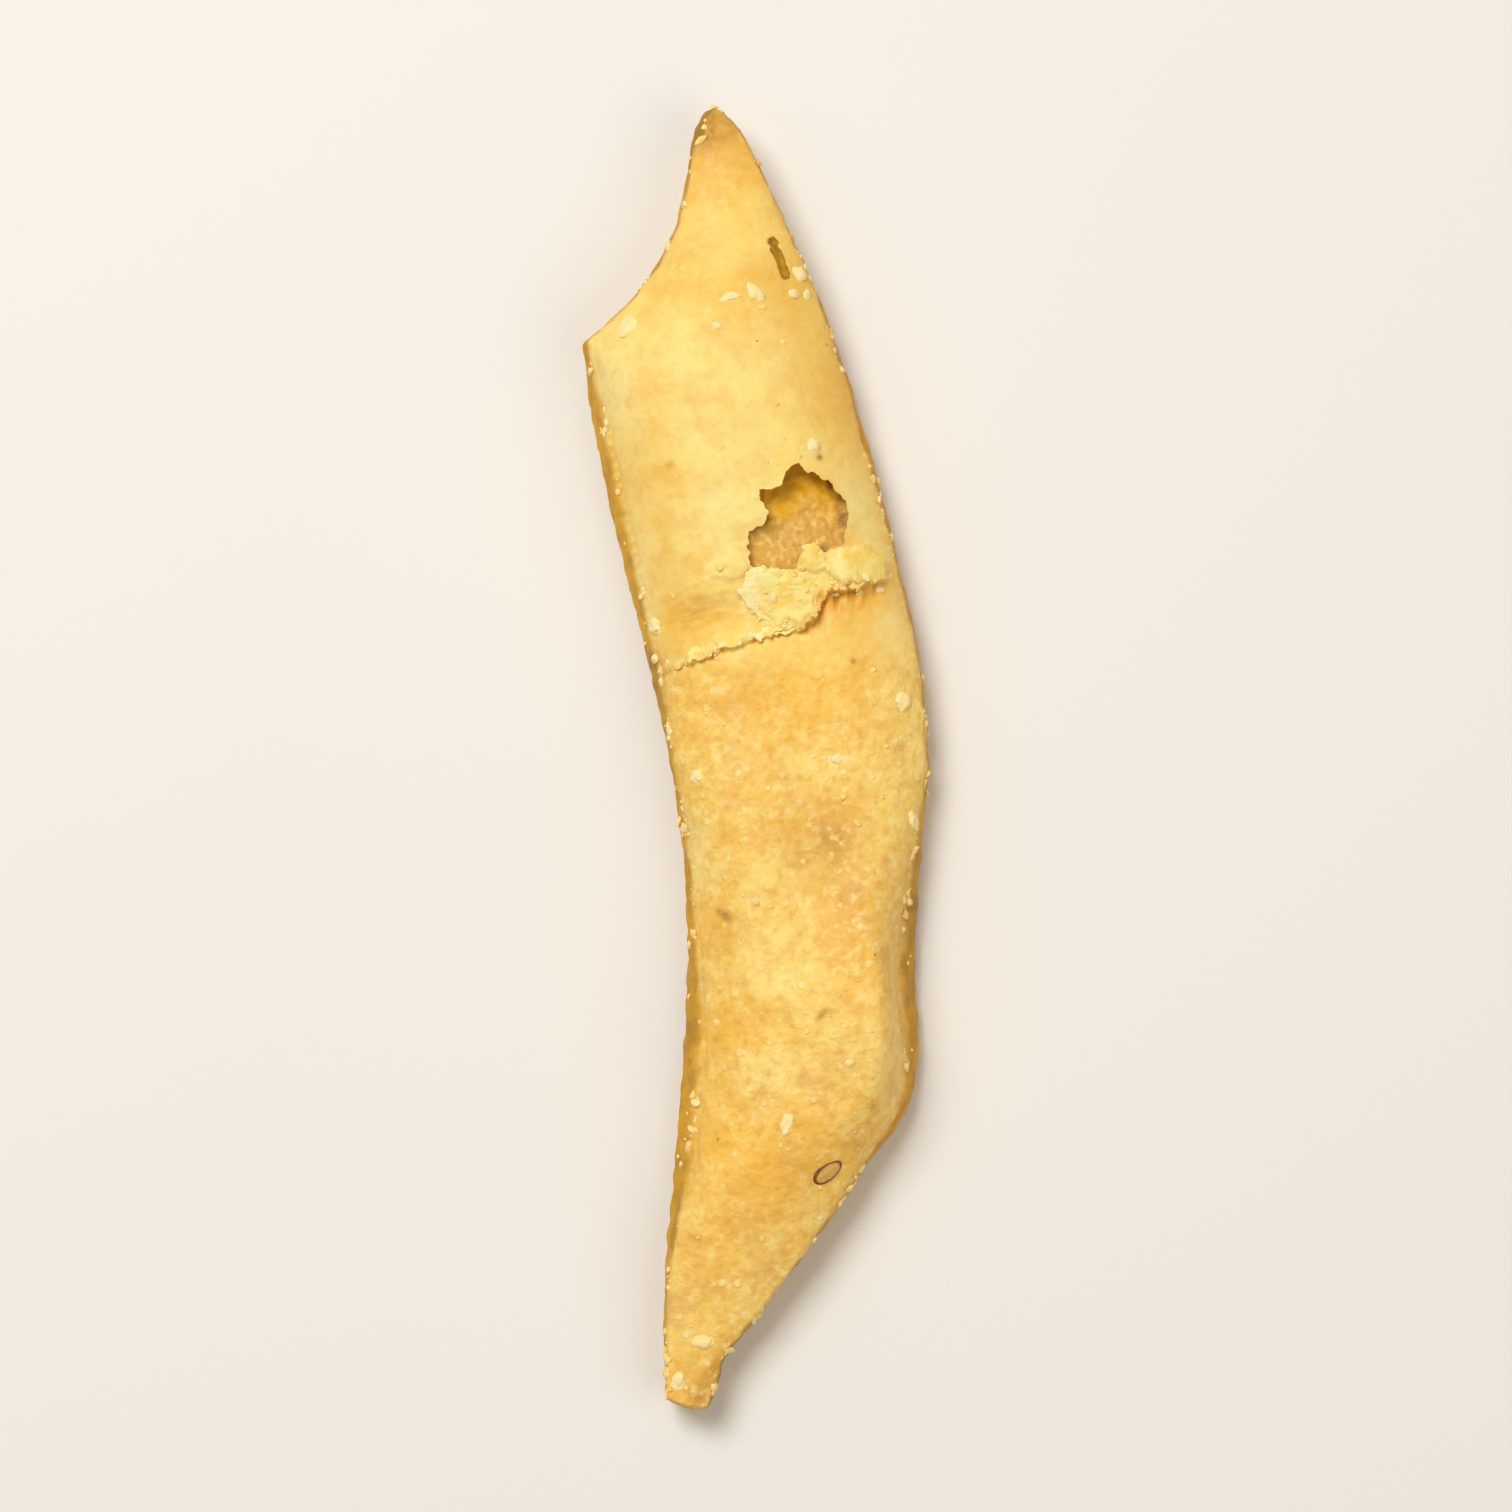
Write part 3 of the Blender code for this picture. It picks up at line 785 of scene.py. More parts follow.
    def underside(self, x: np.ndarray, y: np.ndarray, inside: np.ndarray) -> np.ndarray:
        """Works out the height of the underside, swollen down and flat where it rests.

        Args:
            x: places across the strip, in mm.
            y: places along it, in mm.
            inside: distances in from the cut edge, in mm.

        Returns:
            The height at each place, in mm.
        """
        lumps = lumps_at(flat_points(x, y), self.belly_lumps, Noise.BELLY)
        swollen = self.edge_lift - self.belly * self.dome(inside, self.dome_reach)
        return np.maximum(self.end_lift(x, y) + swollen + lumps, 0)

    def edge_lean(self, points: np.ndarray, nearest: np.ndarray, inwards_x: np.ndarray) -> np.ndarray:
        """Works out how far each point of a cut edge moves in.

        Args:
            points: places in the flat strip, in mm.
            nearest: their distances in from the nearest edge, in mm.
            inwards_x: how far to the right the way inwards points, from -1 to 1.

        Returns:
            The lean, rounding, crumbling and layers together, in mm.
        """
        y, share = points[:, 1], points[:, 2] / self.dough
        on_left = smooth_step(inwards_x, -self.side_blend, self.side_blend)
        lean = on_left * profile(y, self.left_lean) + (1 - on_left) * profile(y, self.right_lean)
        foot = self.undercut * (1 - share) ** 2 * self.edge_height(y) / self.dough
        moved = lean * share**self.lean_bend + foot - self.edge_swell
        rough = self.edge_crumble * self.crumbling.at(points) + self.layer_depth * self.layering.at(points)
        return moved * np.exp(-nearest / self.lean_reach) + rough * np.exp(-nearest / self.crumble_reach)

    def wall_share(self, points: np.ndarray, nearest: np.ndarray) -> np.ndarray:
        """Returns 1 on the cut edges and 0 on the top and underside of the flat strip."""
        below = self.wall_level - np.clip(points[:, 2] / self.dough, 0, 1)
        return (1 - smooth_step(nearest, *self.wall_depth)) * smooth_step(below, 0, self.wall_blend)

    def lumpiness(self, points: np.ndarray, inside: np.ndarray) -> np.ndarray:
        """Returns the height of the dough's own lumps, which are lower by the cut edges, in mm."""
        shares = self.edge_lumps + (1 - self.edge_lumps) * self.dome(inside, self.dome_reach)
        return lumps_at(points, self.lumps, Noise.LUMPS) * shares

    def puffed(self, points: np.ndarray) -> tuple[np.ndarray, np.ndarray]:
        """Moves the points of the flat strip to where frying takes them.

        Args:
            points: places in the flat strip, in mm.

        Returns:
            The same points in the puffed strip, in mm, and how far each lies on a cut edge.
        """
        points[:, 2] = np.clip(points[:, 2], 0, self.dough)
        x, y, z = points.T
        nearest, inside, inwards_x, inwards_y = self.outline.distances(x, y)
        top = self.smooth_top(x, y, inside) + self.torn_skin(x, y) + self.lumpiness(points, inside)
        top = top + self.fine_relief(points, inside)
        bottom = self.underside(x, y, inside)
        lean = self.edge_lean(points, nearest, inwards_x)
        height = bottom + (top - bottom) * z / self.dough
        moved = np.column_stack((x + lean * inwards_x, y + lean * inwards_y, height))
        return moved, self.wall_share(points, nearest)

    def whole_top(self, x: np.ndarray, y: np.ndarray) -> np.ndarray:
        """Works out the lumpy top as it would be if it hadn't burst or torn.

        Args:
            x: places across the strip, in mm.
            y: places along it, in mm.

        Returns:
            Its height at each place, in mm.
        """
        inside = self.outline.distances(x, y)[1]
        places = np.column_stack((x, y, np.full_like(x, self.dough)))
        return self.smooth_top(x, y, inside) + self.lumpiness(places, inside)

    def top_height(self, x: float, y: float) -> float:
        """Returns the height of the finished top at one place, in mm."""
        places = np.array([x]), np.array([y])
        return float((self.whole_top(*places) + self.torn_skin(*places))[0])


class Tone(Enum):
    """The colours of the fried dough, its crumbs, its broken skin and the seed, as sRGB hex values."""

    GOLDEN = "#F9C95E"
    CREAM = "#FFDE78"
    PALEST = "#FFE693"
    TAN = "#E9B868"
    TOASTED = "#DA9A30"
    DEEP_GOLD = "#FFC64C"
    # The cut edges, browned by frying and painted darker as shade. The brown also paints the deepest shade of
    # the crevice and the darkest browned spots.
    EDGE_GOLD = "#DDA210"
    EDGE_BROWN = "#A97A0A"
    FROTH = "#FFE388"
    BUBBLE = "#FFE79A"
    PIT = "#A86C22"
    # Painted shade in the tear's crevice and between the drawn-out strands.
    CREVICE = "#E6A634"
    HOLLOW_TAN = "#DFAF50"
    HOLLOW_PALE = "#F3CF77"
    # Painted shade and warm glow on the hollow's upper side, under the thin skin.
    HOLLOW_AMBER = "#E4AC0E"
    # Scorching in the slit, and painted shadow along the hole's rim.
    SCORCHED = "#99721F"
    CRUMB_PALE = "#FFEAA8"
    CRUMB_GOLDEN = "#FFD878"
    CRUMB_TOASTED = "#DE9A3A"
    SKIN_PALE = "#FFF9B8"
    SKIN_CREAM = "#FFEE8E"
    SKIN_GOLDEN = "#FFDA6A"
    SKIN_TOASTED = "#E9AC48"
    HUSK_BROWN = "#835016"
    HUSK_DARK = "#58330D"
    HUSK_BUFF = "#E2AF58"


Noises = tuple[tuple[str, float, float], ...]
Layers = tuple[tuple[Tone | Factor, ...], ...]


def linear(colour: str) -> tuple[float, float, float, float]:
    """Turns an sRGB hex colour into the linear colour that shaders take, with full alpha."""
    channels = [int(colour[start : start + 2], 16) / 255 for start in (1, 3, 5)]
    return (*(c / 12.92 if c <= 0.04045 else ((c + 0.055) / 1.055) ** 2.4 for c in channels), 1.0)


def add_node(
    tree: bpy.types.NodeTree, kind: str, inputs: dict | None = None, **settings: object
) -> bpy.types.Node:
    """Adds a node to a material.

    Args:
        tree: the material's node tree.
        kind: the node's type.
        inputs: for each input socket, by name or number, its value or the output linked to it.
        **settings: the node's own properties.

    Returns:
        The new node.
    """
    node = tree.nodes.new(kind)
    for name, value in settings.items():
        setattr(node, name, value)
    for socket, value in (inputs or {}).items():
        if isinstance(value, bpy.types.NodeSocket):
            tree.links.new(value, node.inputs[socket])
        else:
            node.inputs[socket].default_value = value
    return node


@dataclass(frozen=True)
class Finish:
    """A matt fried surface: tones laid over each other by its patterns, and the relief of its grain.

    A pattern is smooth noise, one of the piece's own attributes or a mixture of other patterns. A
    factor is a pattern's name, or the name with the values that the pattern goes from and to and the
    shares that those turn to, or a share by itself.

    Attributes:
        name: the material's name.
        base: the tone under all the others.
        noises: each noise's name, the spacing of its lumps in mm, and its detail.
        marks: the piece's own attributes.
        layers: each tone, followed by the factors of how thickly it lies.
        roughness: where the grain is low and where it is high.
        relief: the pattern that stands up.
        height: how high it stands, in mm.
        flecks: each pattern of flecks, with their width and length in mm and their turn in degrees.
        dots: each pattern of dots, with their spacing in mm.
        mixtures: each mixture's name, the arithmetic that joins its factors, and those factors.
        sockets: the shader's other inputs and their values.
    """

    name: str
    base: Tone
    noises: Noises
    marks: tuple[str, ...]
    layers: Layers
    roughness: tuple[float, float]
    relief: str
    height: float
    flecks: tuple[tuple[str, float, float, float], ...] = ()
    dots: tuple[tuple[str, float], ...] = ()
    mixtures: tuple[tuple[Factor, ...], ...] = ()
    sockets: tuple[tuple[str, object], ...] = ()

    def material(self) -> bpy.types.Material:
        """Mixes the material.

        Returns:
            The material, which reads the piece's own attributes.
        """
        material = bpy.data.materials.new(self.name)
        material.use_nodes = True
        tree = material.node_tree
        shader = tree.nodes["Principled BSDF"]
        patterns = self._patterns(tree)
        for name, operation, *factors in self.mixtures:
            patterns[name] = self._joined(tree, patterns, operation, factors)
        colour = linear(self.base.value)
        for tone, *factors in self.layers:
            amount = self._joined(tree, patterns, "MULTIPLY", factors)
            inputs = {0: amount, 6: colour, 7: linear(tone.value)}
            colour = add_node(tree, "ShaderNodeMix", inputs, data_type="RGBA").outputs[2]
        rough = self._joined(tree, patterns, "MULTIPLY", [("grain", *GRAIN_SWING, *self.roughness)])
        inputs = {"Strength": 1.0, "Distance": self.height * MM, "Height": patterns[self.relief]}
        bump = add_node(tree, "ShaderNodeBump", inputs).outputs["Normal"]
        for socket, output in (("Base Color", colour), ("Roughness", rough), ("Normal", bump)):
            tree.links.new(output, shader.inputs[socket])
        for socket, value in self.sockets:
            shader.inputs[socket].default_value = value
        return material

    def _patterns(self, tree: bpy.types.NodeTree) -> dict[str, bpy.types.NodeSocket]:
        """Adds the patterns that the material starts from.

        Args:
            tree: the material's node tree.

        Returns:
            Each pattern's output, by its name. Dots have two: their size and the gap to their middle.
        """
        place = add_node(tree, "ShaderNodeTexCoord").outputs["Object"]
        patterns = {}
        for name, spacing, detail in self.noises:
            inputs = {"Vector": place, "Scale": 1 / (spacing * MM), "Detail": detail}
            patterns[name] = add_node(tree, "ShaderNodeTexNoise", inputs).outputs["Fac"]
        for name in self.marks:
            patterns[name] = add_node(tree, "ShaderNodeAttribute", attribute_name=name).outputs["Fac"]
        for name, width, length, turn in self.flecks:
            inputs = {"Vector": place, "Rotation": (0, 0, -math.radians(turn))}
            turned = add_node(tree, "ShaderNodeMapping", inputs).outputs[0]
            inputs = {"Vector": turned, "Scale": (1 / (length * MM), 1 / (width * MM), 1 / (length * MM))}
            stretched = add_node(tree, "ShaderNodeMapping", inputs).outputs[0]
            inputs = {"Vector": stretched, "Scale": 1.0, "Detail": 1.0}
            patterns[name] = add_node(tree, "ShaderNodeTexNoise", inputs).outputs["Fac"]
        for name, spacing in self.dots:
            cells = add_node(tree, "ShaderNodeTexVoronoi", {"Vector": place, "Scale": 1 / (spacing * MM)})
            patterns[f"{name}_size"] = cells.outputs["Color"]
            patterns[f"{name}_gap"] = cells.outputs["Distance"]
        return patterns

    @staticmethod
    def _joined(
        tree: bpy.types.NodeTree,
        patterns: dict[str, bpy.types.NodeSocket],
        operation: str,
        factors: list[Factor],
    ) -> bpy.types.NodeSocket:
        """Joins factors by arithmetic, kept from 0 to 1.

        Args:
            tree: the material's node tree.
            patterns: the outputs of the patterns so far.
            operation: the arithmetic, as its node names it.
            factors: the factors, in order.

        Returns:
            The joined factors' output, or the only factor's own.
        """
        values = []
        for factor in factors:
            if isinstance(factor, tuple):
                sockets = ("Value", "From Min", "From Max", "To Min", "To Max")
                inputs = dict(zip(sockets, (patterns[factor[0]], *factor[1:])))
                ranged = add_node(tree, "ShaderNodeMapRange", inputs, interpolation_type="SMOOTHSTEP")
                values.append(ranged.outputs[0])
            else:
                values.append(patterns.get(factor, factor))
        joined = values[0]
        for value in values[1:]:
            inputs = {0: joined, 1: value}
            joined = add_node(tree, "ShaderNodeMath", inputs, operation=operation, use_clamp=True).outputs[0]
        return joined


@dataclass(frozen=True)
class FriedCrust(Finish):
    """Shortcrust dough fried golden: matt and sandy, faintly oily, and mottled by its browning.

    Patches a few mm across are cream or golden, the grain is that of fine semolina, about 0.3 mm,
    and tiny bubbles leave paler raised dots. The cut edges are browner, as they fry on both sides,
    and are painted darker still, as the shade of close neighbours.
    A little light goes into the dough, red the furthest, which warms its thin edges.
    """

    name: str = "fried_shortcrust"
    base: Tone = Tone.GOLDEN
    noises: Noises = (
        ("patches", 4.5, 3), ("tan_patches", 2.4, 4), ("mottle", 1.3, 4), ("meal", 0.55, 4),
        ("grain", 0.38, 3),
    )  # fmt: skip
    marks: tuple[str, ...] = (
        "sandy", "browned", "creamy", "gilded", "frothy", "pores", "cut_edge", "crevice", "hollow", "amber",
        "scorched",
    )  # fmt: skip
    flecks: tuple[tuple[str, float, float, float], ...] = (("fleck", 0.3, 0.6, 35),)
    dots: tuple[tuple[str, float], ...] = (("bubble", 0.9), ("pit", 2.1))
    mixtures: tuple[tuple[Factor, ...], ...] = (
        ("clusters", "MULTIPLY", ("mottle", 0.36, 0.58, 0.3, 1), "sandy", ("gilded", 0, 1, 1, 0.3)),
        ("flecks", "MULTIPLY", ("fleck", 0.56, 0.74, 0, 0.6), "clusters"),
        ("bubble_dots", "SUBTRACT", ("bubble_size", 0, 1, 0.1, 0.3), "bubble_gap"),
        ("bubbles", "MULTIPLY", ("bubble_dots", 0, 0.1, 0, 1), "clusters"),
        ("pit_dots", "SUBTRACT", ("pit_size", 0, 1, 0.02, 0.045), "pit_gap"),
        ("pits", "MULTIPLY", ("pit_dots", 0, 0.02, 0, 1)),
        # The cut edges' colour, browned by frying and painted darker as shade.
        ("wall", "MULTIPLY", "cut_edge", ("grain", 0.7, 0.45, 0.88, 1)),
        ("wall_browning", "ADD", ("mottle", 0.6, 0.4, 0, 0.45), "browned"),
        ("sand_relief", "MULTIPLY", "grain", "sandy", 0.5),
        ("bubble_relief", "MULTIPLY", "bubbles", 0.2),
        ("fleck_relief", "MULTIPLY", "flecks", 0.1),
        ("pit_relief", "MULTIPLY", "pits", 0.2),
        ("raised", "ADD", "sand_relief", "bubble_relief", "fleck_relief", 0.2),
        ("relief", "SUBTRACT", "raised", "pit_relief"),
    )
    layers: Layers = (
        (Tone.CREAM, ("patches", 0.38, 0.64, 0, 1)),
        (Tone.TAN, ("tan_patches", 0.5, 0.66, 0, 0.6), "sandy"),
        # Palest where creamy, which in a few spots is painted light.
        (Tone.PALEST, "creamy", ("mottle", 0.3, 0.6, 0.5, 1)),
        (Tone.CREAM, ("mottle", 0.5, 0.7, 0, 0.5), "sandy"),
        # Deeper gold, which along the upper right slope is painted warm light thrown back from close by.
        (Tone.DEEP_GOLD, "gilded", ("mottle", 0.7, 0.45, 0.55, 1)),
        (Tone.TOASTED, ("mottle", 0.5, 0.36, 0, 0.22), "sandy"),
        # Browned spots, one of them painted shade on the lower half's right slope.
        (Tone.TOASTED, ("mottle", 0.3, 0.62, 0.4, 0.9), "browned"),
        (Tone.EDGE_BROWN, ("browned", 0.5, 1, 0, 0.5), ("mottle", 0.3, 0.6, 0.6, 1)),
        (Tone.BUBBLE, ("meal", 0.5, 0.68, 0, 0.62), "clusters"),
        (Tone.TOASTED, ("meal", 0.47, 0.31, 0, 0.34), "sandy"),
        (Tone.BUBBLE, "flecks", 0.7),
        (Tone.BUBBLE, "bubbles", 0.7),
        (Tone.PIT, "pits", 0.7),
        (Tone.PIT, "pores"),
        (Tone.FROTH, "frothy", ("grain", 0.35, 0.55, 0.6, 0.95)),
        # The cut edges, browned by frying and painted darker as shade.
        (Tone.EDGE_GOLD, "wall"),
        (Tone.EDGE_BROWN, "wall", "wall_browning"),
        # Painted shade in the tear's crevice and between the drawn-out strands, darkest deepest in.
        (Tone.CREVICE, ("crevice", 0, 0.6, 0, 0.9)),
        (Tone.EDGE_BROWN, ("crevice", 0.6, 1, 0, 0.7)),
        (Tone.HOLLOW_TAN, "hollow"),
        (Tone.HOLLOW_PALE, "hollow", ("grain", 0.5, 0.62, 0, 0.8)),
        # Painted shade and warm glow on the hollow's upper side, under the thin skin.
        (Tone.HOLLOW_AMBER, "amber", ("grain", 0.66, 0.5, 0.8, 1), "hollow"),
        # Scorching in the slit, and painted shadow under the skin's edge along the hole's rim.
        (Tone.SCORCHED, "scorched"),
    )
    roughness: tuple[float, float] = (0.48, 0.68)
    relief: str = "relief"
    height: float = 0.2
    sockets: tuple[tuple[str, object], ...] = (
        ("Subsurface Weight", 0.15),
        ("Subsurface Radius", (1.0, 0.6, 0.2)),
        ("Subsurface Scale", 0.8 * MM),
        ("Specular IOR Level", 0.4),
    )


@dataclass(frozen=True)
class FriedCrumb(Finish):
    """Crumbs of the same dough, broken off and fried dry: paler, chalkier and rougher than crust."""

    name: str = "fried_dough_crumb"
    base: Tone = Tone.CRUMB_PALE
    noises: Noises = (("grain", 0.16, 3),)
    marks: tuple[str, ...] = ("browned",)
    layers: Layers = (
        (Tone.CRUMB_GOLDEN, ("browned", 0, 0.5, 0, 1)),
        (Tone.CRUMB_TOASTED, ("browned", 0.5, 1, 0, 0.8)),
        (Tone.CRUMB_GOLDEN, ("grain", 0.5, 0.3, 0, 0.4)),
    )
    roughness: tuple[float, float] = (0.6, 0.8)
    relief: str = "grain"
    height: float = 0.03


@dataclass(frozen=True)
class SkinFlake(Finish):
    """Thin skin off the blister, fried through: pale cream and dry, golden in patches about 1 mm wide."""

    name: str = "flaked_dough_skin"
    base: Tone = Tone.SKIN_CREAM
    noises: Noises = (("patches", 1.3, 3), ("grain", 0.2, 3))
    marks: tuple[str, ...] = ("browned", "frothy")
    layers: Layers = (
        (Tone.SKIN_GOLDEN, ("patches", 0.4, 0.54, 0, 1)),
        # Pale froth, on a plate's left also a painted highlight; toasting, on its lower right also painted
        # shade.
        (Tone.SKIN_PALE, "frothy", ("grain", 0.35, 0.6, 0.4, 0.9)),
        (Tone.SKIN_TOASTED, "browned"),
    )
    roughness: tuple[float, float] = (0.55, 0.75)
    relief: str = "grain"
    height: float = 0.035


@dataclass(frozen=True)
class AjwainHusk(Finish):
    """The husk of a fried ajwain seed: dull brown, ribbed, and buff where dough dust clings to it."""

    name: str = "ajwain_seed_husk"
    base: Tone = Tone.HUSK_BROWN
    noises: Noises = (("grain", 0.12, 3),)
    marks: tuple[str, ...] = ("dusty",)
    layers: Layers = (
        (Tone.HUSK_DARK, ("grain", 0.4, 0.65, 0, 1)),
        (Tone.HUSK_BUFF, "dusty", ("grain", 0.3, 0.6, 0.7, 1)),
    )
    roughness: tuple[float, float] = (0.5, 0.7)
    relief: str = "grain"
    height: float = 0.04


@dataclass
class Crust:
    """The puffed, burst and browned strip itself."""

    shape: PuffedStrip
    finish: FriedCrust
    cell: float = 0.2  # mm between the points of the surface
    fine_stretch: tuple[float, float] = (2.5, 17.5)  # where along the strip the points are finer
    top_from: float = 0.9  # share of the dough's height above which a flat face is on its top
    flat_within: float = 0.03
    # The burst blister, in mm
    hole: Points = (
        (2.5, 15.75), (2.1, 15.6), (1.7, 15.1), (1.45, 14.5), (1.05, 14.15), (0.55, 14.25), (0.35, 14.1),
        (0.55, 13.4), (0.8, 13.0), (0.6, 12.4), (0.1, 12.1), (-0.3, 11.85), (-0.35, 11.15), (-0.2, 10.1),
        (0.45, 10.0), (1.3, 9.9), (2.3, 9.95), (2.45, 10.5), (2.95, 11.25), (3.45, 11.35), (3.9, 10.8),
        (4.3, 11.0), (4.8, 11.25), (5.05, 12.0), (5.15, 12.85), (4.95, 13.8), (4.55, 14.25), (4.1, 14.75),
        (3.45, 15.15), (2.8, 15.25),
    )  # fmt: skip
    skin: float = 0.4
    hole_ragged: Points = ((0.4, 0.14), (0.18, 0.13))
    hole_step: float = 0.06
    punch_reach: tuple[float, float] = (-0.62, 1.2)  # how far it reaches from the top of the skin
    pocket_floor: float = 5.15
    pocket_slope: tuple[float, float] = (-0.2, -0.14)  # the floor falls to the right and upwards
    pocket_lumps: Points = ((1.1, 0.3), (0.5, 0.16), (0.25, 0.07))
    pocket_least: float = 0.3
    pocket_margin: float = 0.8
    pocket_rim: float = 0.03  # share of its depth, squared, that the hollow keeps at its rim
    pocket_points: int = 120
    pocket_cell: float = 0.09
    slit: Spot = Spot(1.4, 27.15, 0.34, 1.3, 20, 0.42)  # two pits, joined by a shallow groove
    slit_waist: float = 0.95
    slit_pits: tuple[float, float, float] = (0.45, 0.85, 0.18)  # how much wider, where, over how long
    slit_blunt: float = 0.6
    slit_ragged: Uneven = Uneven(0.0, 0.5, (0.5, 0.2, 0.5), Noise.CRUMBLE)
    slit_floor: tuple[float, float] = (0.2, 0.34)  # how far down its scorched rim turns to its floor
    slit_uneven: Uneven = Uneven(0.5, 0.6, 0.4, Noise.POCKET)
    slit_within: float = 1.8  # how far around it the slit's inside is scorched, in its half sizes
    slit_depth: tuple[float, float] = (0.1, 0.25)
    hollow_depth: tuple[float, float] = (0.24, 0.4)  # how far below the skin's top its inside begins
    hollow_within: float = 1.02  # how far out the hollow's inside is looked for, in its half sizes
    # Where the hollow's floor turns amber, to the left and upwards, as painted shade and warm glow under the
    # thin skin, and where its rim is darkened by painted shadow
    amber_rise: tuple[float, float] = (-0.15, 0.9)
    amber_uneven: Uneven = Uneven(-0.1, 0.3, 1.2, Noise.POCKET)
    amber_blend: float = 0.2
    # Painted shadow under the skin's edge, along the hole's rim.
    hollow_rim_shadows: tuple[Spot, ...] = spots(
        (4.9, 12.9, 0.35, 1.0, 5, 0.9), (4.3, 14.35, 0.9, 0.3, -38, 0.7),
        (1.8, 15.0, 0.35, 0.7, -30, 0.4), (4.0, 10.9, 0.3, 0.5, 30, 0.5),
    )  # fmt: skip
    rim_shadow_uneven: Uneven = Uneven(0.8, 1.2, 0.45, Noise.POCKET)
    # Where the top has browned more, or less where the amount is below 0. A few spots are painted shade and
    # painted light, as marked by them
    browning: tuple[Spot, ...] = spots(
        # The narrow tip, and down to the blister, whose right flank is browner
        (-2.4, 35.0, 2.6, 2.6, 0, 1.15), (1.3, 30.8, 1.0, 3.0, 20, 0.3), (-4.2, 26.0, 2.0, 3.0, -30, 0.3),
        (3.9, 19.8, 1.5, 5.0, 12, 0.2), (-4.5, 15.6, 1.2, 1.2, 0, 0.3),
        # The wrinkled skin beside the tear, and the tear's two ends
        (-2.9, 8.0, 2.6, 1.3, 10, 0.5), (-5.2, 4.7, 1.0, 1.5, 10, 0.7), (6.0, 8.2, 2.2, 0.9, 10, 0.6),
        # The lower half, with the slope down to the blunt tip last
        (-4.7, 1.4, 0.9, 4.0, 8, 0.2), (3.4, -4.1, 2.6, 2.2, 30, 0.45), (-1.6, -9.0, 0.7, 0.9, 20, 0.35),
        (-3.6, -14.3, 0.8, 6.0, 0, 0.2), (-0.8, -14.8, 2.6, 1.6, 0, 0.35), (-0.8, -26.0, 2.4, 1.2, -20, 0.45),
        (-2.9, -29.0, 1.6, 2.5, 0, 0.35), (-2.9, -33.8, 2.0, 1.6, 0, 0.4), (8.8, -9.0, 0.9, 5.0, 0, 0.4),
        # (5.5, -8.0) is painted shade on the right slope below the shoulder, not browning.
        (5.5, -8.0, 2.2, 4.6, 5, 0.62), (3.4, -22.6, 2.6, 2.0, 0, 0.6), (1.3, -28.2, 0.9, 3.5, -38, 0.6),
        (-1.3, -33.0, 0.9, 2.5, -30, 0.6), (-2.2, -35.4, 1.8, 1.0, 0, 0.8),
        # The blister's crown is palest. The spots at (5.7, 13.6), (-7.8, 20.0) and (-6.2, 10.0) are painted
        # light, lifting the shade where the top slopes down right of the hole and rounds off at the left rim
        (-2.5, 17.8, 4.0, 6.5, 8, -0.6), (-1.2, 11.8, 2.8, 2.6, 0, -0.9), (0.8, 21.2, 2.0, 3.0, 0, -0.4),
        (3.6, 16.3, 1.2, 1.5, 0, -0.5), (5.7, 13.6, 1.0, 2.4, 12, -1.0), (7.7, 6.8, 1.3, 4.0, 5, -0.9),
        (-7.8, 20.0, 1.6, 2.8, 10, -1.0), (-6.2, 10.0, 1.0, 3.8, 14, -0.9),
        # Pale patches of the lower half
        (-3.4, -6.0, 1.0, 2.6, 0, -0.6), (0.8, -12.6, 2.6, 1.0, -10, -0.5), (1.0, -17.8, 2.6, 1.2, 0, -0.5),
        (6.3, -1.2, 2.0, 2.6, 0, -0.35), (6.5, -15.3, 2.0, 4.5, 6, -0.4), (2.2, -15.5, 1.6, 2.5, 0, -0.2),
    )  # fmt: skip
    browning_uneven: Uneven = Uneven(0.0, 0.3, 3.2, Noise.BROWNING)
    browning_wrinkles: float = 0.8  # how much paler the wrinkles' crests are
    # Where it is a deeper gold. The spots at (5.2, 19.0) and (7.2, 13.0), along the upper right slope,
    # are painted warm light, as food close by throws back
    gilding_and_warm_light: tuple[Spot, ...] = spots(
        (0.4, -22.4, 3.8, 2.6, 0, 0.9), (-2.8, -9.8, 1.6, 2.2, 0, 0.6), (-1.4, -14.9, 2.8, 1.3, -10, 0.9),
        (-2.6, -19.0, 1.3, 3.0, 0, 0.6), (4.5, -14.0, 3.0, 6.0, 0, 0.2), (-7.7, 13.5, 1.0, 4.0, 11, 0.8),
        (-2.6, -28.0, 1.6, 3.5, 15, 0.4), (2.5, 3.0, 4.0, 2.4, 10, 0.8), (-3.0, 6.8, 2.4, 1.2, 14, 0.6),
        (5.2, 19.0, 1.5, 3.5, 12, 0.6), (7.2, 13.0, 0.7, 4.0, 12, 0.6), (2.9, 24.5, 1.5, 5.0, 18, 0.4),
    )  # fmt: skip
    gilding_uneven: Uneven = Uneven(0.0, 0.2, 2.2, Noise.BROWNING)
    # The dark pores and cracks that show by themselves
    pores: tuple[Spot, ...] = spots(
        (3.6, 16.05, 0.17, 0.17, 0, 1.0), (5.45, 4.95, 0.16, 0.16, 0, 0.8), (-4.6, 15.6, 0.3, 0.2, 30, 0.4),
        (-1.6, -8.9, 0.2, 0.45, 50, 0.9), (3.7, -14.4, 0.18, 0.4, -40, 0.7), (6.5, -19.4, 0.2, 0.2, 0, 0.6),
        (-3.1, -26.6, 0.2, 0.5, 70, 0.5),
    )  # fmt: skip
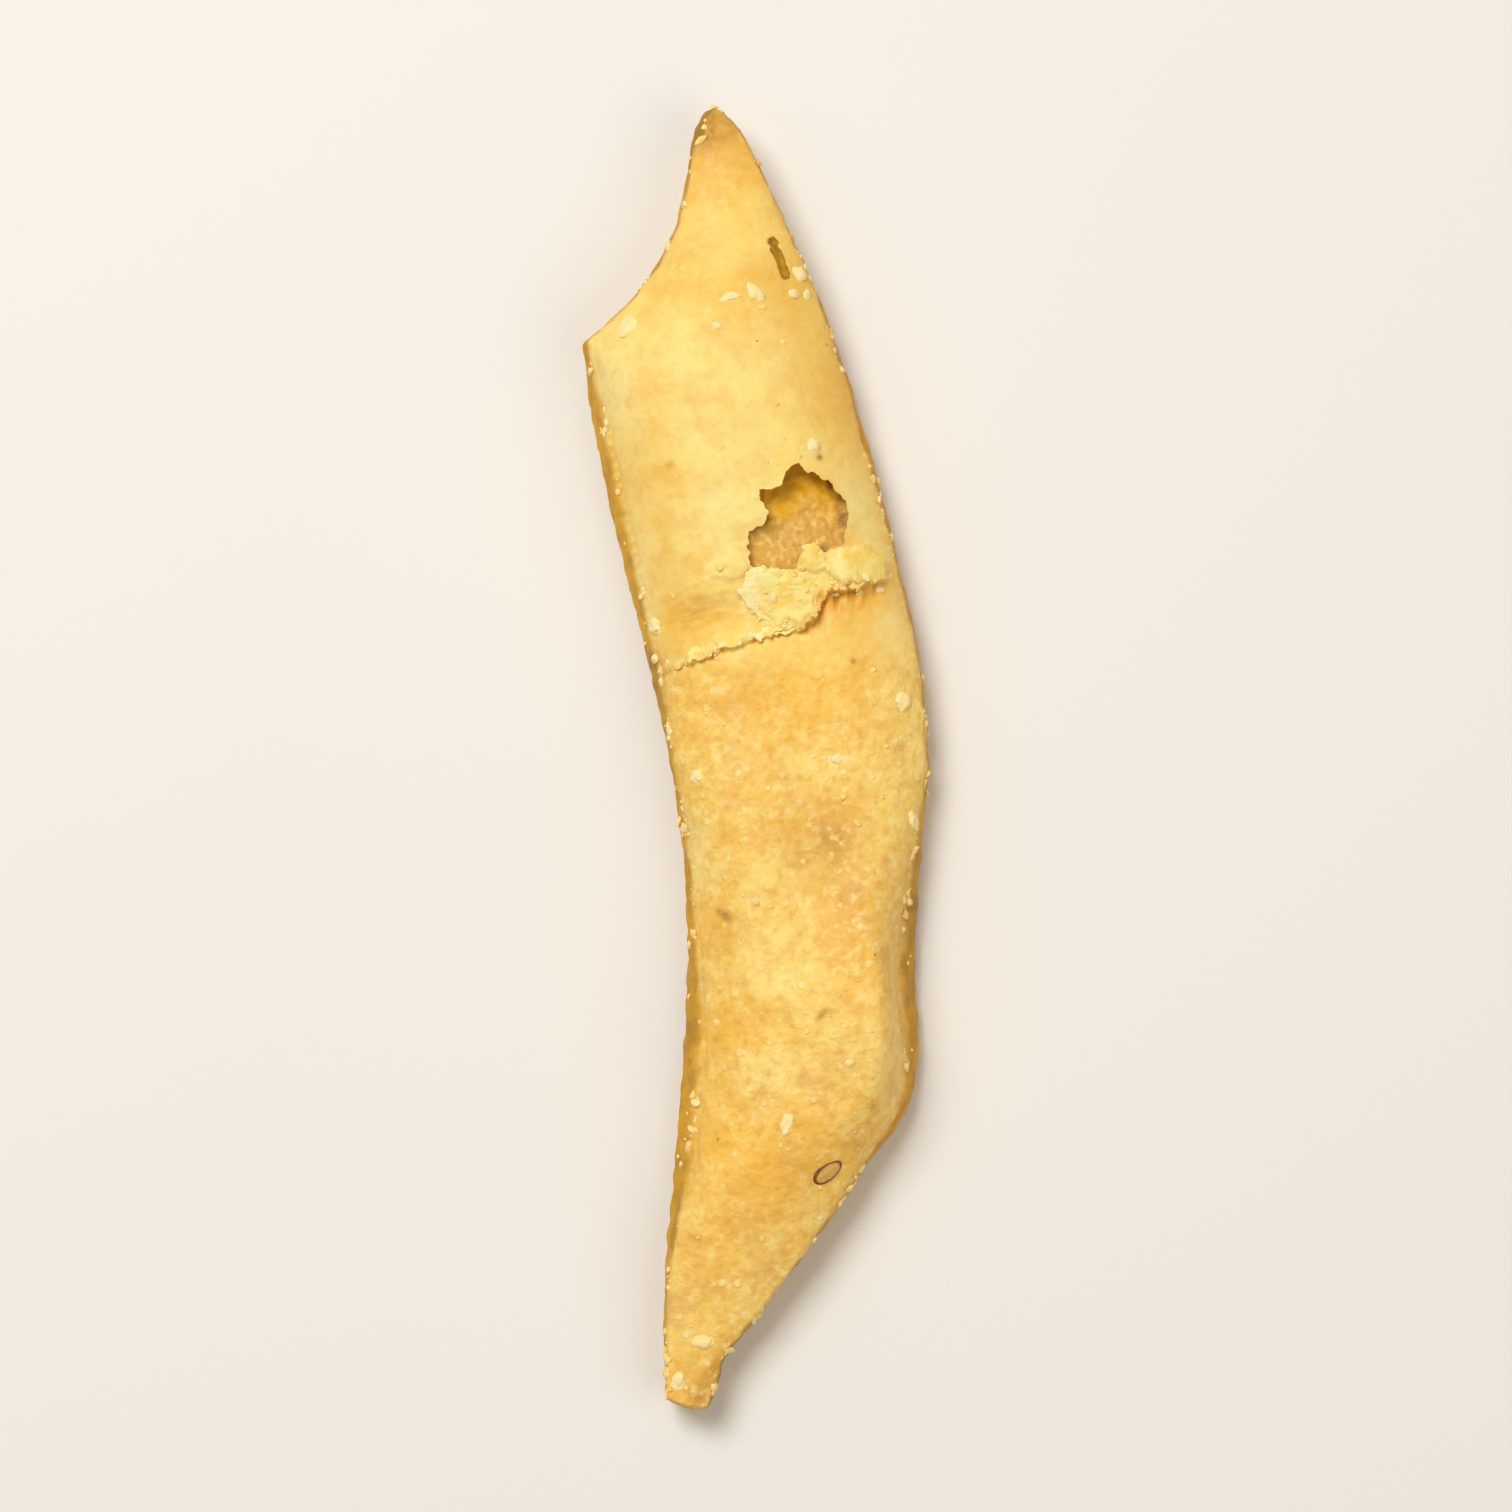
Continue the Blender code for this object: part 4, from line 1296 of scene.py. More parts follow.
    # The froth of the tear's lip and the pale fringe of the cut edges
    lip_froth: tuple[float, float, float] = (0.85, 0.25, 0.3)  # how much, how far up and over how far
    fringe: float = 6.0
    fringe_uneven: Uneven = Uneven(0.0, 2.5, 1.6, Noise.CLUSTERS)
    fringed: tuple[float, float] = (-2.0, 4.0)  # between these places along the strip it sets in
    # The painted shade of the tear's crevice, streaked across, and between the drawn-out strands
    crevice_shade_above: float = 0.1  # how far up the torn edge the crevice's colour reaches
    crevice_shade_streaks: Uneven = Uneven(0.75, 0.7, (0.3, 1.5, 1.5), Noise.TEAR)
    strand_shade: float = 1.3

    def build(self) -> bpy.types.Object:
        """Builds the crust and dresses it.

        Returns:
            The crust, in mm.
        """
        crust = prism("crust", self.shape.outline.points, 0, self.shape.dough)
        remesh(crust, self.cell)
        divide_faces(crust, self._fine_faces(crust.data))
        points, wall = self.shape.puffed(vertex_array(crust.data))
        points[:, 2] = np.where(points[:, 2] < self.flat_within, 0, points[:, 2])
        move_vertices(crust.data, points)
        set_share(crust.data, "cut_edge", wall)
        for cutter in (self._pocket(), self._hole(), self._slit()):
            cut_away(crust, cutter)
        hollow = self._mark_hollow(crust.data)
        self._mark_top(crust.data, hollow)
        dress(crust, self.finish.material())
        return crust

    def _fine_faces(self, mesh: bpy.types.Mesh) -> np.ndarray:
        """Picks the flat strip's faces near the tear and the hole, on its top.

        Args:
            mesh: the flat strip.

        Returns:
            Whether each face is one of them.
        """
        middles = np.empty(len(mesh.polygons) * 3)
        mesh.polygons.foreach_get("center", middles)
        _, y, z = middles.reshape(-1, 3).T
        start, end = self.fine_stretch
        return (z > self.top_from * self.shape.dough) & (y > start) & (y < end)

    def _hole_frame(self) -> tuple[np.ndarray, np.ndarray]:
        """Measures the hole.

        Returns:
            Its middle, and how far the hollow reaches from there across and along, in mm.
        """
        hole = np.array(self.hole)
        middle = (hole.min(axis=0) + hole.max(axis=0)) / 2
        return middle, (hole.max(axis=0) - hole.min(axis=0)) / 2 + self.pocket_margin

    def _pocket(self) -> bpy.types.Object:
        """Shapes the hollow below the skin, a lens whose roof follows the blister.

        Returns:
            Its cutter, in mm.
        """
        middle, reach = self._hole_frame()
        around = np.linspace(0, 2 * math.pi, self.pocket_points, endpoint=False)
        oval = middle + reach * np.column_stack((np.cos(around), np.sin(around)))
        pocket = prism("pocket", oval, 0, 1)
        remesh(pocket, self.pocket_cell)
        x, y, level = vertex_array(pocket.data).T
        roof = self.shape.whole_top(x, y) - self.skin
        slopes = self.pocket_slope
        floor = self.pocket_floor + slopes[0] * (x - middle[0]) + slopes[1] * (y - middle[1])
        floor = floor + lumps_at(flat_points(x, y), self.pocket_lumps, Noise.POCKET)
        floor = np.minimum(floor, roof - self.pocket_least)
        out = np.hypot((x - middle[0]) / reach[0], (y - middle[1]) / reach[1])
        closing = np.sqrt(np.clip(1 - out**4, self.pocket_rim, 1))
        z = (roof + floor) / 2 + (2 * np.clip(level, 0, 1) - 1) * closing * (roof - floor) / 2
        move_vertices(pocket.data, np.column_stack((x, y, z)))
        return pocket

    def _hole(self) -> bpy.types.Object:
        """Shapes the ragged hole through the skin into the hollow.

        Returns:
            Its cutter, which follows the skin, in mm.
        """
        outline = ragged_outline(self.hole, self.hole_step, self.hole_ragged)
        punch = prism("hole", outline, 0, 1)
        remesh(punch, self.hole_step)
        x, y, level = vertex_array(punch.data).T
        top = self.shape.whole_top(x, y)
        low, high = self.punch_reach
        move_vertices(punch.data, np.column_stack((x, y, top + low + (high - low) * level)))
        return punch

    def _slit(self) -> bpy.types.Object:
        """Shapes the narrow slit near the narrow tip.

        Returns:
            Its cutter, in mm.
        """
        slit = self.slit
        cutter = add_alone(bpy.ops.mesh.primitive_ico_sphere_add, subdivisions=4, radius=1)
        ball = vertex_array(cutter.data)
        ball[:, 1] = np.sign(ball[:, 1]) * np.abs(ball[:, 1]) ** self.slit_blunt
        wider, middle, reach = self.slit_pits
        ball[:, 0] *= self.slit_waist + wider * np.exp(-(((np.abs(ball[:, 1]) - middle) / reach) ** 2))
        ball[:, 0] += self.slit_ragged.at(ball)
        move_vertices(cutter.data, ball)
        sizes = (slit.half_width, slit.half_length, slit.amount)
        lay_down(cutter.data, (slit.x, slit.y, 0), Vector((0, 0, 1)), math.radians(slit.turn), sizes)
        points = vertex_array(cutter.data)
        points[:, 2] += self.shape.whole_top(points[:, 0], points[:, 1])
        move_vertices(cutter.data, points)
        return cutter

    def _mark_hollow(self, mesh: bpy.types.Mesh) -> np.ndarray:
        """Keeps on the mesh where the inside of the hole and the slit is, the painted shade and glow of
        the hole's amber side, the painted shadow along its rim, and the slit's scorching.

        Args:
            mesh: the crust's mesh.

        Returns:
            How far each point is inside the hole or the slit, from 0 to 1.
        """
        points = vertex_array(mesh)
        x, y, z = points.T
        middle, reach = self._hole_frame()
        away = (points[:, :2] - middle) / reach
        in_slit = np.hypot(*self.slit.local(x, y)) < self.slit_within
        near = (np.hypot(*away.T) < self.hollow_within) | in_slit
        burst = np.flatnonzero(near & (z > self.shape.dough))
        depth = np.zeros(len(points))
        depth[burst] = self.shape.whole_top(x[burst], y[burst]) - z[burst]
        in_pocket = smooth_step(depth, *self.hollow_depth)
        hollow = np.where(in_slit, smooth_step(depth, *self.slit_depth), in_pocket)
        set_share(mesh, "hollow", hollow)
        set_share(mesh, "cut_edge", get_share(mesh, "cut_edge") * (hollow == 0))
        # The amber is painted shade and warm glow, on the hollow's left and upper side.
        blotchy = away @ np.array(self.amber_rise) + self.amber_uneven.at(points)
        set_share(mesh, "amber", smooth_step(blotchy, -self.amber_blend, self.amber_blend))
        paler = smooth_step(depth, *self.slit_floor) * self.slit_uneven.at(points)
        # Along the hole's rim the darkening is painted shadow under the skin's edge; in the slit it is
        # scorching.
        rim = np.clip(self.rim_shadow_uneven.at(points), 0, 1) * mounds(self.hollow_rim_shadows, x, y)
        set_share(mesh, "scorched", hollow * np.clip(np.where(in_slit, 1 - np.clip(paler, 0, 1), rim), 0, 1))
        return hollow

    def _mark_top(self, mesh: bpy.types.Mesh, hollow: np.ndarray) -> None:
        """Keeps on the mesh how browned, golden, frothy, sandy or torn each point is, with the painted
        light and shade that some of these carry.

        Args:
            mesh: the crust's mesh.
            hollow: how far each point is inside the hole or the slit.
        """
        shape, points = self.shape, vertex_array(mesh)
        x, y, _ = points.T
        # The browning spots, some of them painted shade and painted light; creamy is their paler side.
        browned = mounds(self.browning, x, y) + self.browning_uneven.at(points)
        browned = browned * (1 - self.browning_wrinkles * shape.wrinkled.mound(x, y) * shape.wrinkle(x, y))
        above = shape.above_tear(x, y)
        amount, up, reach = self.lip_froth
        lip = amount * np.exp(-(((above - up) / reach) ** 2)) * shape.tear_ends(x)
        edge = get_share(mesh, "cut_edge")
        fringe = self.fringe * edge * (1 - edge) ** 3 * np.clip(self.fringe_uneven.at(points), 0, 1)
        frothy = np.maximum(np.maximum(lip, fringe * smooth_step(y, *self.fringed)), shape.frothiness(x, y))
        # The crevice's painted shade, streaked across, and the painted shade between the drawn-out strands.
        crevice = shape.crevice_share(x, above - self.crevice_shade_above) * self.crevice_shade_streaks.at(points)
        crevice = np.clip(np.maximum(crevice, self.strand_shade * shape.comb(x, y)), 0, 1)
        for name, shares in (
            ("browned", browned),
            ("creamy", -browned),
            # Deeper gold, partly painted warm light on the upper right slope.
            ("gilded", mounds(self.gilding_and_warm_light, x, y) + self.gilding_uneven.at(points)),
            ("frothy", frothy * (1 - hollow)),
            ("sandy", shape.sandiness(y)),
            ("pores", mounds(self.pores, x, y) * (1 - hollow)),
            ("crevice", crevice * (1 - hollow)),
        ):
            set_share(mesh, name, np.clip(shares, 0, 1))


@dataclass(frozen=True)
class Plate:
    """A loose plate of skin: its outline, how far it stands off the crust and how much it curls."""

    corners: Points
    lift: float
    curl: float


@dataclass
class BrokenSkin:
    """The loose plates of skin round the hole and along the tear, in mm."""

    shape: PuffedStrip
    finish: SkinFlake
    plates: tuple[Plate, ...] = (
        Plate(((-0.3, 9.9), (0.92, 9.95), (2.3, 9.75), (3.7, 9.03), (3.4, 7.7), (2.75, 7.0), (1.4, 6.8),
               (0.3, 7.1), (-0.35, 7.8), (-0.6, 8.8)), 0.0, 0.04),
        Plate(((4.2, 10.4), (4.97, 11.3), (6.15, 11.39), (7.2, 10.6), (7.1, 9.5), (6.02, 9.15),
               (4.84, 9.29), (4.19, 9.75)), 0.04, 0.08),
        Plate(((2.5, 10.7), (3.3, 11.3), (4.0, 10.6), (3.67, 9.82), (2.7, 9.9)), 0.0, 0.08),
        Plate(((-3.9, 5.45), (-2.9, 5.75), (-2.2, 5.6), (-2.4, 5.25), (-3.5, 4.95)), 0.03, 0.1),
        Plate(((-2.1, 5.85), (-0.9, 6.3), (-0.3, 6.15), (-1.2, 5.6)), 0.04, 0.12),
        Plate(((0.0, 6.4), (1.2, 6.75), (2.4, 6.9), (2.2, 6.5), (0.6, 6.1)), 0.03, 0.1),
    )  # fmt: skip
    thickness: float = 0.17
    thin_rim: float = 0.55  # share of its thickness that a plate has at its rim
    rim_reach: float = 0.4
    cell: float = 0.06
    ragged: Points = ((1.2, 0.3), (0.5, 0.35), (0.22, 0.2))
    step: float = 0.06
    lumps: Points = ((0.9, 0.04), (0.35, 0.012))
    sunk: float = 0.1  # how far a plate's middle is sunk in the crust
    curl_reach: float = 0.5
    curl_uneven: Uneven = Uneven(0.6, 1.0, 1.4, Noise.PLATE)
    # The right and lower part of a plate is toasted and painted darker as shade, and the left part frothy
    # and pale as a painted highlight, with the light from the upper left
    toast_and_shade: float = 0.3
    toast_and_shade_from: tuple[float, float] = (0.2, 2.0)
    toast_and_shade_uneven: Uneven = Uneven(0.5, 0.8, 0.6, Noise.BROWNING)
    froth_and_highlight_from: tuple[float, float] = (0.2, 1.3)
    froth_uneven: Uneven = Uneven(0.0, 0.8, 0.8, Noise.FROTH)

    def build(self) -> bpy.types.Object:
        """Builds the plates as one joined piece and dresses it.

        Returns:
            The plates, in mm.
        """
        skin = join("broken_skin", [self._plate(number, plate) for number, plate in enumerate(self.plates)])
        dress(skin, self.finish.material())
        return skin

    def _plate(self, number: int, plate: Plate) -> bpy.types.Object:
        """Makes one plate that follows the crust.

        Args:
            number: which of the plates it is.
            plate: its outline, lift and curl.

        Returns:
            The plate, in mm.
        """
        outline = ragged_outline(plate.corners, self.step, self.ragged)
        piece = prism(f"plate_{number}", outline, 0, self.thickness)
        remesh(piece, self.cell)
        points = vertex_array(piece.data)
        x, y, z = points.T
        inside = gaps_to_edges(outline, x, y)[0].min(axis=1)
        raised = plate.lift + float(np.median(self.shape.torn_skin(x, y))) - self.sunk
        curl = plate.curl * np.exp(-inside / self.curl_reach) * self.curl_uneven.at(flat_points(x, y))
        lumps = lumps_at(flat_points(x, y), self.lumps, Noise.PLATE)
        thinned = z * (self.thin_rim + (1 - self.thin_rim) * smooth_step(inside, 0, self.rim_reach))
        height = self.shape.whole_top(x, y) + raised + curl + lumps + thinned
        move_vertices(piece.data, np.column_stack((x, y, height)))
        # Painted shade to the lower right and a painted highlight to the left, over the plate's own toasting
        # and froth.
        right, up = (points[:, :2] - np.mean(plate.corners, axis=0)).T
        toast_and_shade = self.toast_and_shade * smooth_step(right - up, *self.toast_and_shade_from)
        set_share(piece.data, "browned", toast_and_shade * self.toast_and_shade_uneven.at(points))
        set_share(piece.data, "frothy", smooth_step(self.froth_uneven.at(points) - right, *self.froth_and_highlight_from))
        return piece


@dataclass(frozen=True)
class Crumb:
    """A crumb that shows by itself: its place, radius, stretch and turn, in mm and degrees."""

    x: float
    y: float
    radius: float
    stretch: float
    turn: float
    tone: float = 0.1


@dataclass(frozen=True)
class Scatter:
    """Fine crumbs of one place: how many, their radii in mm, their tones and how flat they lie."""

    count: int
    radii: tuple[float, float]
    tones: tuple[float, float]
    flat: float


@dataclass
class Crumbs:
    """Crumbs baked on the crust: the larger ones in their places, and fine ones along the edges."""

    shape: PuffedStrip
    finish: FriedCrumb
    placed: tuple[tuple[float, ...], ...] = (
        (-5.8, 6.9, 0.5, 1.1, 20, 0.0), (8.2, 2.8, 0.48, 1.0, 0), (9.1, -3.8, 0.36, 1.8, -50, 0.0),
        (0.1, 25.1, 0.38, 1.75, -45, 0.0), (-1.3, 24.8, 0.29, 1.9, 15), (2.6, 26.4, 0.42, 1.25, -40, 0.0),
        (3.3, 16.7, 0.4, 1.0, 0), (-3.2, -1.3, 0.38, 1.2, 30), (1.8, -20.4, 0.38, 1.7, 80),
        (-2.8, -32.3, 0.42, 1.4, 0, 0.2), (-4.1, -34.4, 0.42, 1.2, 70, 0.1), (-7.0, 23.4, 0.62, 1.1, 60),
        (-2.0, 23.2, 0.25, 1.1, 0), (1.6, 22.4, 0.14, 1.1, 0), (2.25, 25.2, 0.3, 1.3, 10),
        (3.0, 25.25, 0.27, 1.2, 70), (-5.7, 3.7, 0.22, 1.3, 60), (4.5, -0.4, 0.32, 1.4, 10),
        (-2.3, -14.8, 0.22, 1.1, 0, 0.3), (5.8, -9.6, 0.2, 1.2, 0, 0.3), (6.3, -11.6, 0.2, 1.2, 40, 0.3),
        (5.2, -17.0, 0.2, 1.4, 40, 0.2), (8.9, -8.0, 0.2, 1.4, 80, 0.2),
    )  # fmt: skip
    proud: float = 0.45  # share of its radius by which a crumb stands out
    flat: float = 0.55
    knobs: Points = ((0.9, 0.35), (0.4, 0.12), (0.2, 0.04))
    # The few shapes that the fine crumbs are copied from, with a radius of 1
    kinds: int = 8
    grain_knob: float = 0.5
    grain_knobs_per_radius: float = 1.3
    grain_apart: float = 7.3  # how far apart in the noise field the kinds are read
    jagged: float = 0.14
    # The fine crumbs along the rim, on the top, and along the tear's lip
    rim: Scatter = Scatter(260, (0.07, 0.26), (0.0, 0.4), 0.6)
    top: Scatter = Scatter(60, (0.07, 0.16), (0.25, 0.7), 0.5)
    lip: Scatter = Scatter(130, (0.07, 0.22), (0.0, 0.4), 0.45)
    clustered: Uneven = Uneven(0.5, 1.0, 1.6, Noise.CLUSTERS)
    where_fine: float = 0.25  # the crust has four times as many points there
    outside_hollow: float = 0.1  # a point with more of the hollow than this has none
    # Along the rim: how far in, from which share of cut edge, facing how far up, how high on the cut
    # edge, and how thickly between the clusters and on the wall
    rim_reach: float = 2.0
    rim_from: float = 0.02
    rim_facing: float = -0.2
    rim_height: float = 0.5
    rim_least: float = 0.05
    wall_from: float = 0.8  # with this share of cut edge a point is on the wall
    on_wall: float = 0.15
    # On the top: facing how far up, and how thickly between the clusters
    top_facing: float = 0.6
    top_least: float = 0.1
    # Along the tear: how far up from it and over how far, facing how far up, and how thickly on froth
    lip_above: tuple[float, float] = (0.2, 0.3)
    lip_facing: float = 0.2
    on_froth: float = 0.1
    # Each leans to every side of the crust's way out by up to this, is stretched and stands out
    lean: float = 0.3
    stretches: tuple[float, float] = (0.8, 1.6)
    fine_proud: float = 0.2
    chance: random.Random = field(default_factory=lambda: random.Random(7))

    def build(self, crust: bpy.types.Object) -> list[bpy.types.Object]:
        """Builds the crumbs on the finished crust.

        Args:
            crust: the finished crust, in mm.

        Returns:
            The larger crumbs, and the fine ones, each as one joined piece, in mm.
        """
        material = self.finish.material()
        surface = BVHTree.FromObject(crust, bpy.context.evaluated_depsgraph_get())
        large = [self._placed_crumb(Crumb(*row), surface) for row in self.placed]
        grains = [self._grain_shape(number) for number in range(self.kinds)]
        fine = [self._fine_crumb(grains, *spot) for spot in self._fine_spots(crust.data)]
        for grain in grains:
            bpy.data.objects.remove(grain)
        pieces = [join("larger_crumbs", large), join("fine_crumbs", fine)]
        for piece in pieces:
            dress(piece, material)
        return pieces

    def _placed_crumb(self, crumb: Crumb, surface: BVHTree) -> bpy.types.Object:
        """Models one of the larger crumbs on the crust.

        Args:
            crumb: its place and size.
            surface: the crust's surface.

        Returns:
            The crumb, in mm.
        """
        piece = add_alone(bpy.ops.mesh.primitive_ico_sphere_add, subdivisions=4, radius=1)
        points = vertex_array(piece.data)
        shift = Vector((crumb.x, crumb.y, 0))
        for spacing, height in self.knobs:
            places = [Vector(point) / spacing + shift for point in points.tolist()]
            points = points + np.array([height * noise.noise_vector(place) for place in places])
        move_vertices(piece.data, points)
        height = self.shape.top_height(crumb.x, crumb.y)
        place, outwards, _, _ = surface.find_nearest((crumb.x, crumb.y, height))
        place += (self.proud - self.flat) * crumb.radius * outwards
        sizes = (crumb.radius * crumb.stretch, crumb.radius, self.flat * crumb.radius)
        lay_down(piece.data, place, outwards, math.radians(crumb.turn), sizes)
        set_share(piece.data, "browned", crumb.tone)
        return piece

    def _grain_shape(self, number: int) -> bpy.types.Object:
        """Models one of the few shapes that the fine crumbs are copied from.

        Args:
            number: which of them it is.

        Returns:
            The shape, with a radius of 1.
        """
        grain = add_alone(bpy.ops.mesh.primitive_ico_sphere_add, subdivisions=2, radius=1)
        points = vertex_array(grain.data)
        shift = Vector((self.grain_apart * number, 0, 0))
        places = [self.grain_knobs_per_radius * Vector(point) + shift for point in points]
        knobs = [self.grain_knob * noise.noise_vector(place) for place in places]
        jags = [1 + self.jagged * self.chance.uniform(-1, 1) for _ in points]
        move_vertices(grain.data, (points + np.array(knobs)) * np.array(jags)[:, None])
        return grain

    def _fine_spots(self, mesh: bpy.types.Mesh) -> list[tuple[Vector, Vector, float, float, float]]:
        """Chooses where the fine crumbs lie.

        Args:
            mesh: the finished crust.

        Returns:
            For each crumb its place, the way out of the crust there, its radius, tone and flatness.
        """
        points = vertex_array(mesh)
        normals = np.empty(len(mesh.vertices) * 3)
        mesh.vertex_normals.foreach_get("vector", normals)
        normals = normals.reshape(-1, 3)
        (x, y, z), up = points.T, normals[:, 2]
        cut_edge, open_top = get_share(mesh, "cut_edge"), get_share(mesh, "hollow") < self.outside_hollow
        nearest = self.shape.outline.distances(x, y)[0]
        clusters = self.clustered.at(points)
        rim = (nearest < self.rim_reach) * (cut_edge > self.rim_from) * (up > self.rim_facing)
        rim = rim * np.maximum(clusters, self.rim_least) ** 3
        start, end = Crust.fine_stretch
        off_wall = cut_edge < self.wall_from
        thinned = np.where((y > start) & (y < end) & off_wall, self.where_fine, 1)
        on_upper = z > self.rim_height * self.shape.edge_height(y)
        rim = thinned * rim * on_upper * np.where(off_wall, 1, self.on_wall)
        top = thinned * (up > self.top_facing) * open_top * self.shape.sandiness(y)
        top = top * np.maximum(clusters, self.top_least)
        above, reach = self.lip_above
        lip = np.exp(-(((self.shape.above_tear(x, y) - above) / reach) ** 2)) * self.shape.tear_ends(x)
        lip = (lip + self.on_froth * self.shape.frothiness(x, y)) * open_top * (up > self.lip_facing)
        chosen = []
        for weights, kind in ((rim, self.rim), (top, self.top), (lip, self.lip)):
            for number in self.chance.choices(range(len(points)), weights.tolist(), k=kind.count):
                radius = kind.radii[0] + (kind.radii[1] - kind.radii[0]) * self.chance.random() ** 2
                place, outwards = Vector(points[number]), Vector(normals[number])
                chosen.append((place, outwards, radius, self.chance.uniform(*kind.tones), kind.flat))
        return chosen

    def _fine_crumb(
        self,
        grains: list[bpy.types.Object],
        place: Vector,
        outwards: Vector,
        radius: float,
        tone: float,
        flat: float,
    ) -> bpy.types.Object:
        """Copies one of the grain shapes to a place on the crust.

        Args:
            grains: the shapes to choose from.
            place: where it lies, in mm.
            outwards: the way out of the crust there.
            radius: its radius, in mm.
            tone: how toasted it is.
            flat: its height as a share of its width.

        Returns:
            The copy, in mm.
        """
        grain = self.chance.choice(grains)
        crumb = grain.copy()
        crumb.data = grain.data.copy()
        bpy.context.scene.collection.objects.link(crumb)
        lean = Vector([self.chance.uniform(-self.lean, self.lean) for _ in range(3)])
        turn = self.chance.uniform(0, 2 * math.pi)
        sizes = (radius * self.chance.uniform(*self.stretches), radius, radius * flat)
        place = place + self.fine_proud * flat * radius * outwards
        lay_down(crumb.data, place, outwards + lean, turn, sizes)
        set_share(crumb.data, "browned", tone)
        return crumb


@dataclass
class AjwainSeed:
    """The ajwain seed fried into the top, near the blunt tip, in mm."""

    shape: PuffedStrip
    finish: AjwainHusk
    x: float = 4.1
    y: float = -23.0
    half_length: float = 0.94
    half_width: float = 0.5
    half_height: float = 0.24
    turn: float = 36.0
    slimmer: float = 0.12  # share by which it is slimmer at one end, and thicker at the other
    ribs: int = 9
    rib_height: float = 0.05
    proud: float = 0.22  # how far it stands out of the dough
    dust: tuple[float, float] = (0.73, 0.87)  # how far out from its middle the dust on it ends
    bed_step: int = 30  # degrees between the places where the crust under it is felt

    def build(self, crust: bpy.types.Object) -> bpy.types.Object:
        """Builds the seed and dresses it.

        Args:
            crust: the finished crust, in mm.

        Returns:
            The seed, in mm.
        """
        seed = add_alone(bpy.ops.mesh.primitive_uv_sphere_add, segments=72, ring_count=36, radius=1)
        seed.name = "ajwain_seed"
        x, y, z = vertex_array(seed.data).T
        ribbed = 1 + self.rib_height * np.cos(self.ribs * np.arctan2(y, x)) * np.hypot(x, y)
        slim = ribbed * (1 - self.slimmer * z)
        lying = np.column_stack((z, x * slim, y * slim))
        set_share(seed.data, "dusty", 1 - smooth_step(np.hypot(lying[:, 0], lying[:, 1]), *self.dust))
        move_vertices(seed.data, lying)
        place, outwards = self._bed(BVHTree.FromObject(crust, bpy.context.evaluated_depsgraph_get()))
        place = place + (self.proud - self.half_height) * outwards
        sizes = (self.half_length, self.half_width, self.half_height)
        lay_down(seed.data, place, outwards, math.radians(self.turn), sizes)
        dress(seed, self.finish.material())
        return seed

    def _bed(self, surface: BVHTree) -> tuple[Vector, Vector]:
        """Finds where the seed lies.

        Args:
            surface: the crust's surface.

        Returns:
            The middle of the crust under the seed, and the way out of it, both evened out over the
            seed's length.
        """
        height = self.shape.top_height(self.x, self.y)
        hits = []
        for angle in range(0, 360, self.bed_step):
            step = Matrix.Rotation(math.radians(angle), 2) @ Vector((self.half_length, 0))
            hits.append(surface.find_nearest((self.x + step.x, self.y + step.y, height))[0])
        middle = sum(hits, Vector()) / len(hits)
        crosses = [(hit - middle).cross(after - middle) for hit, after in zip(hits, hits[1:] + hits[:1])]
        return middle, sum(crosses, Vector()).normalized()


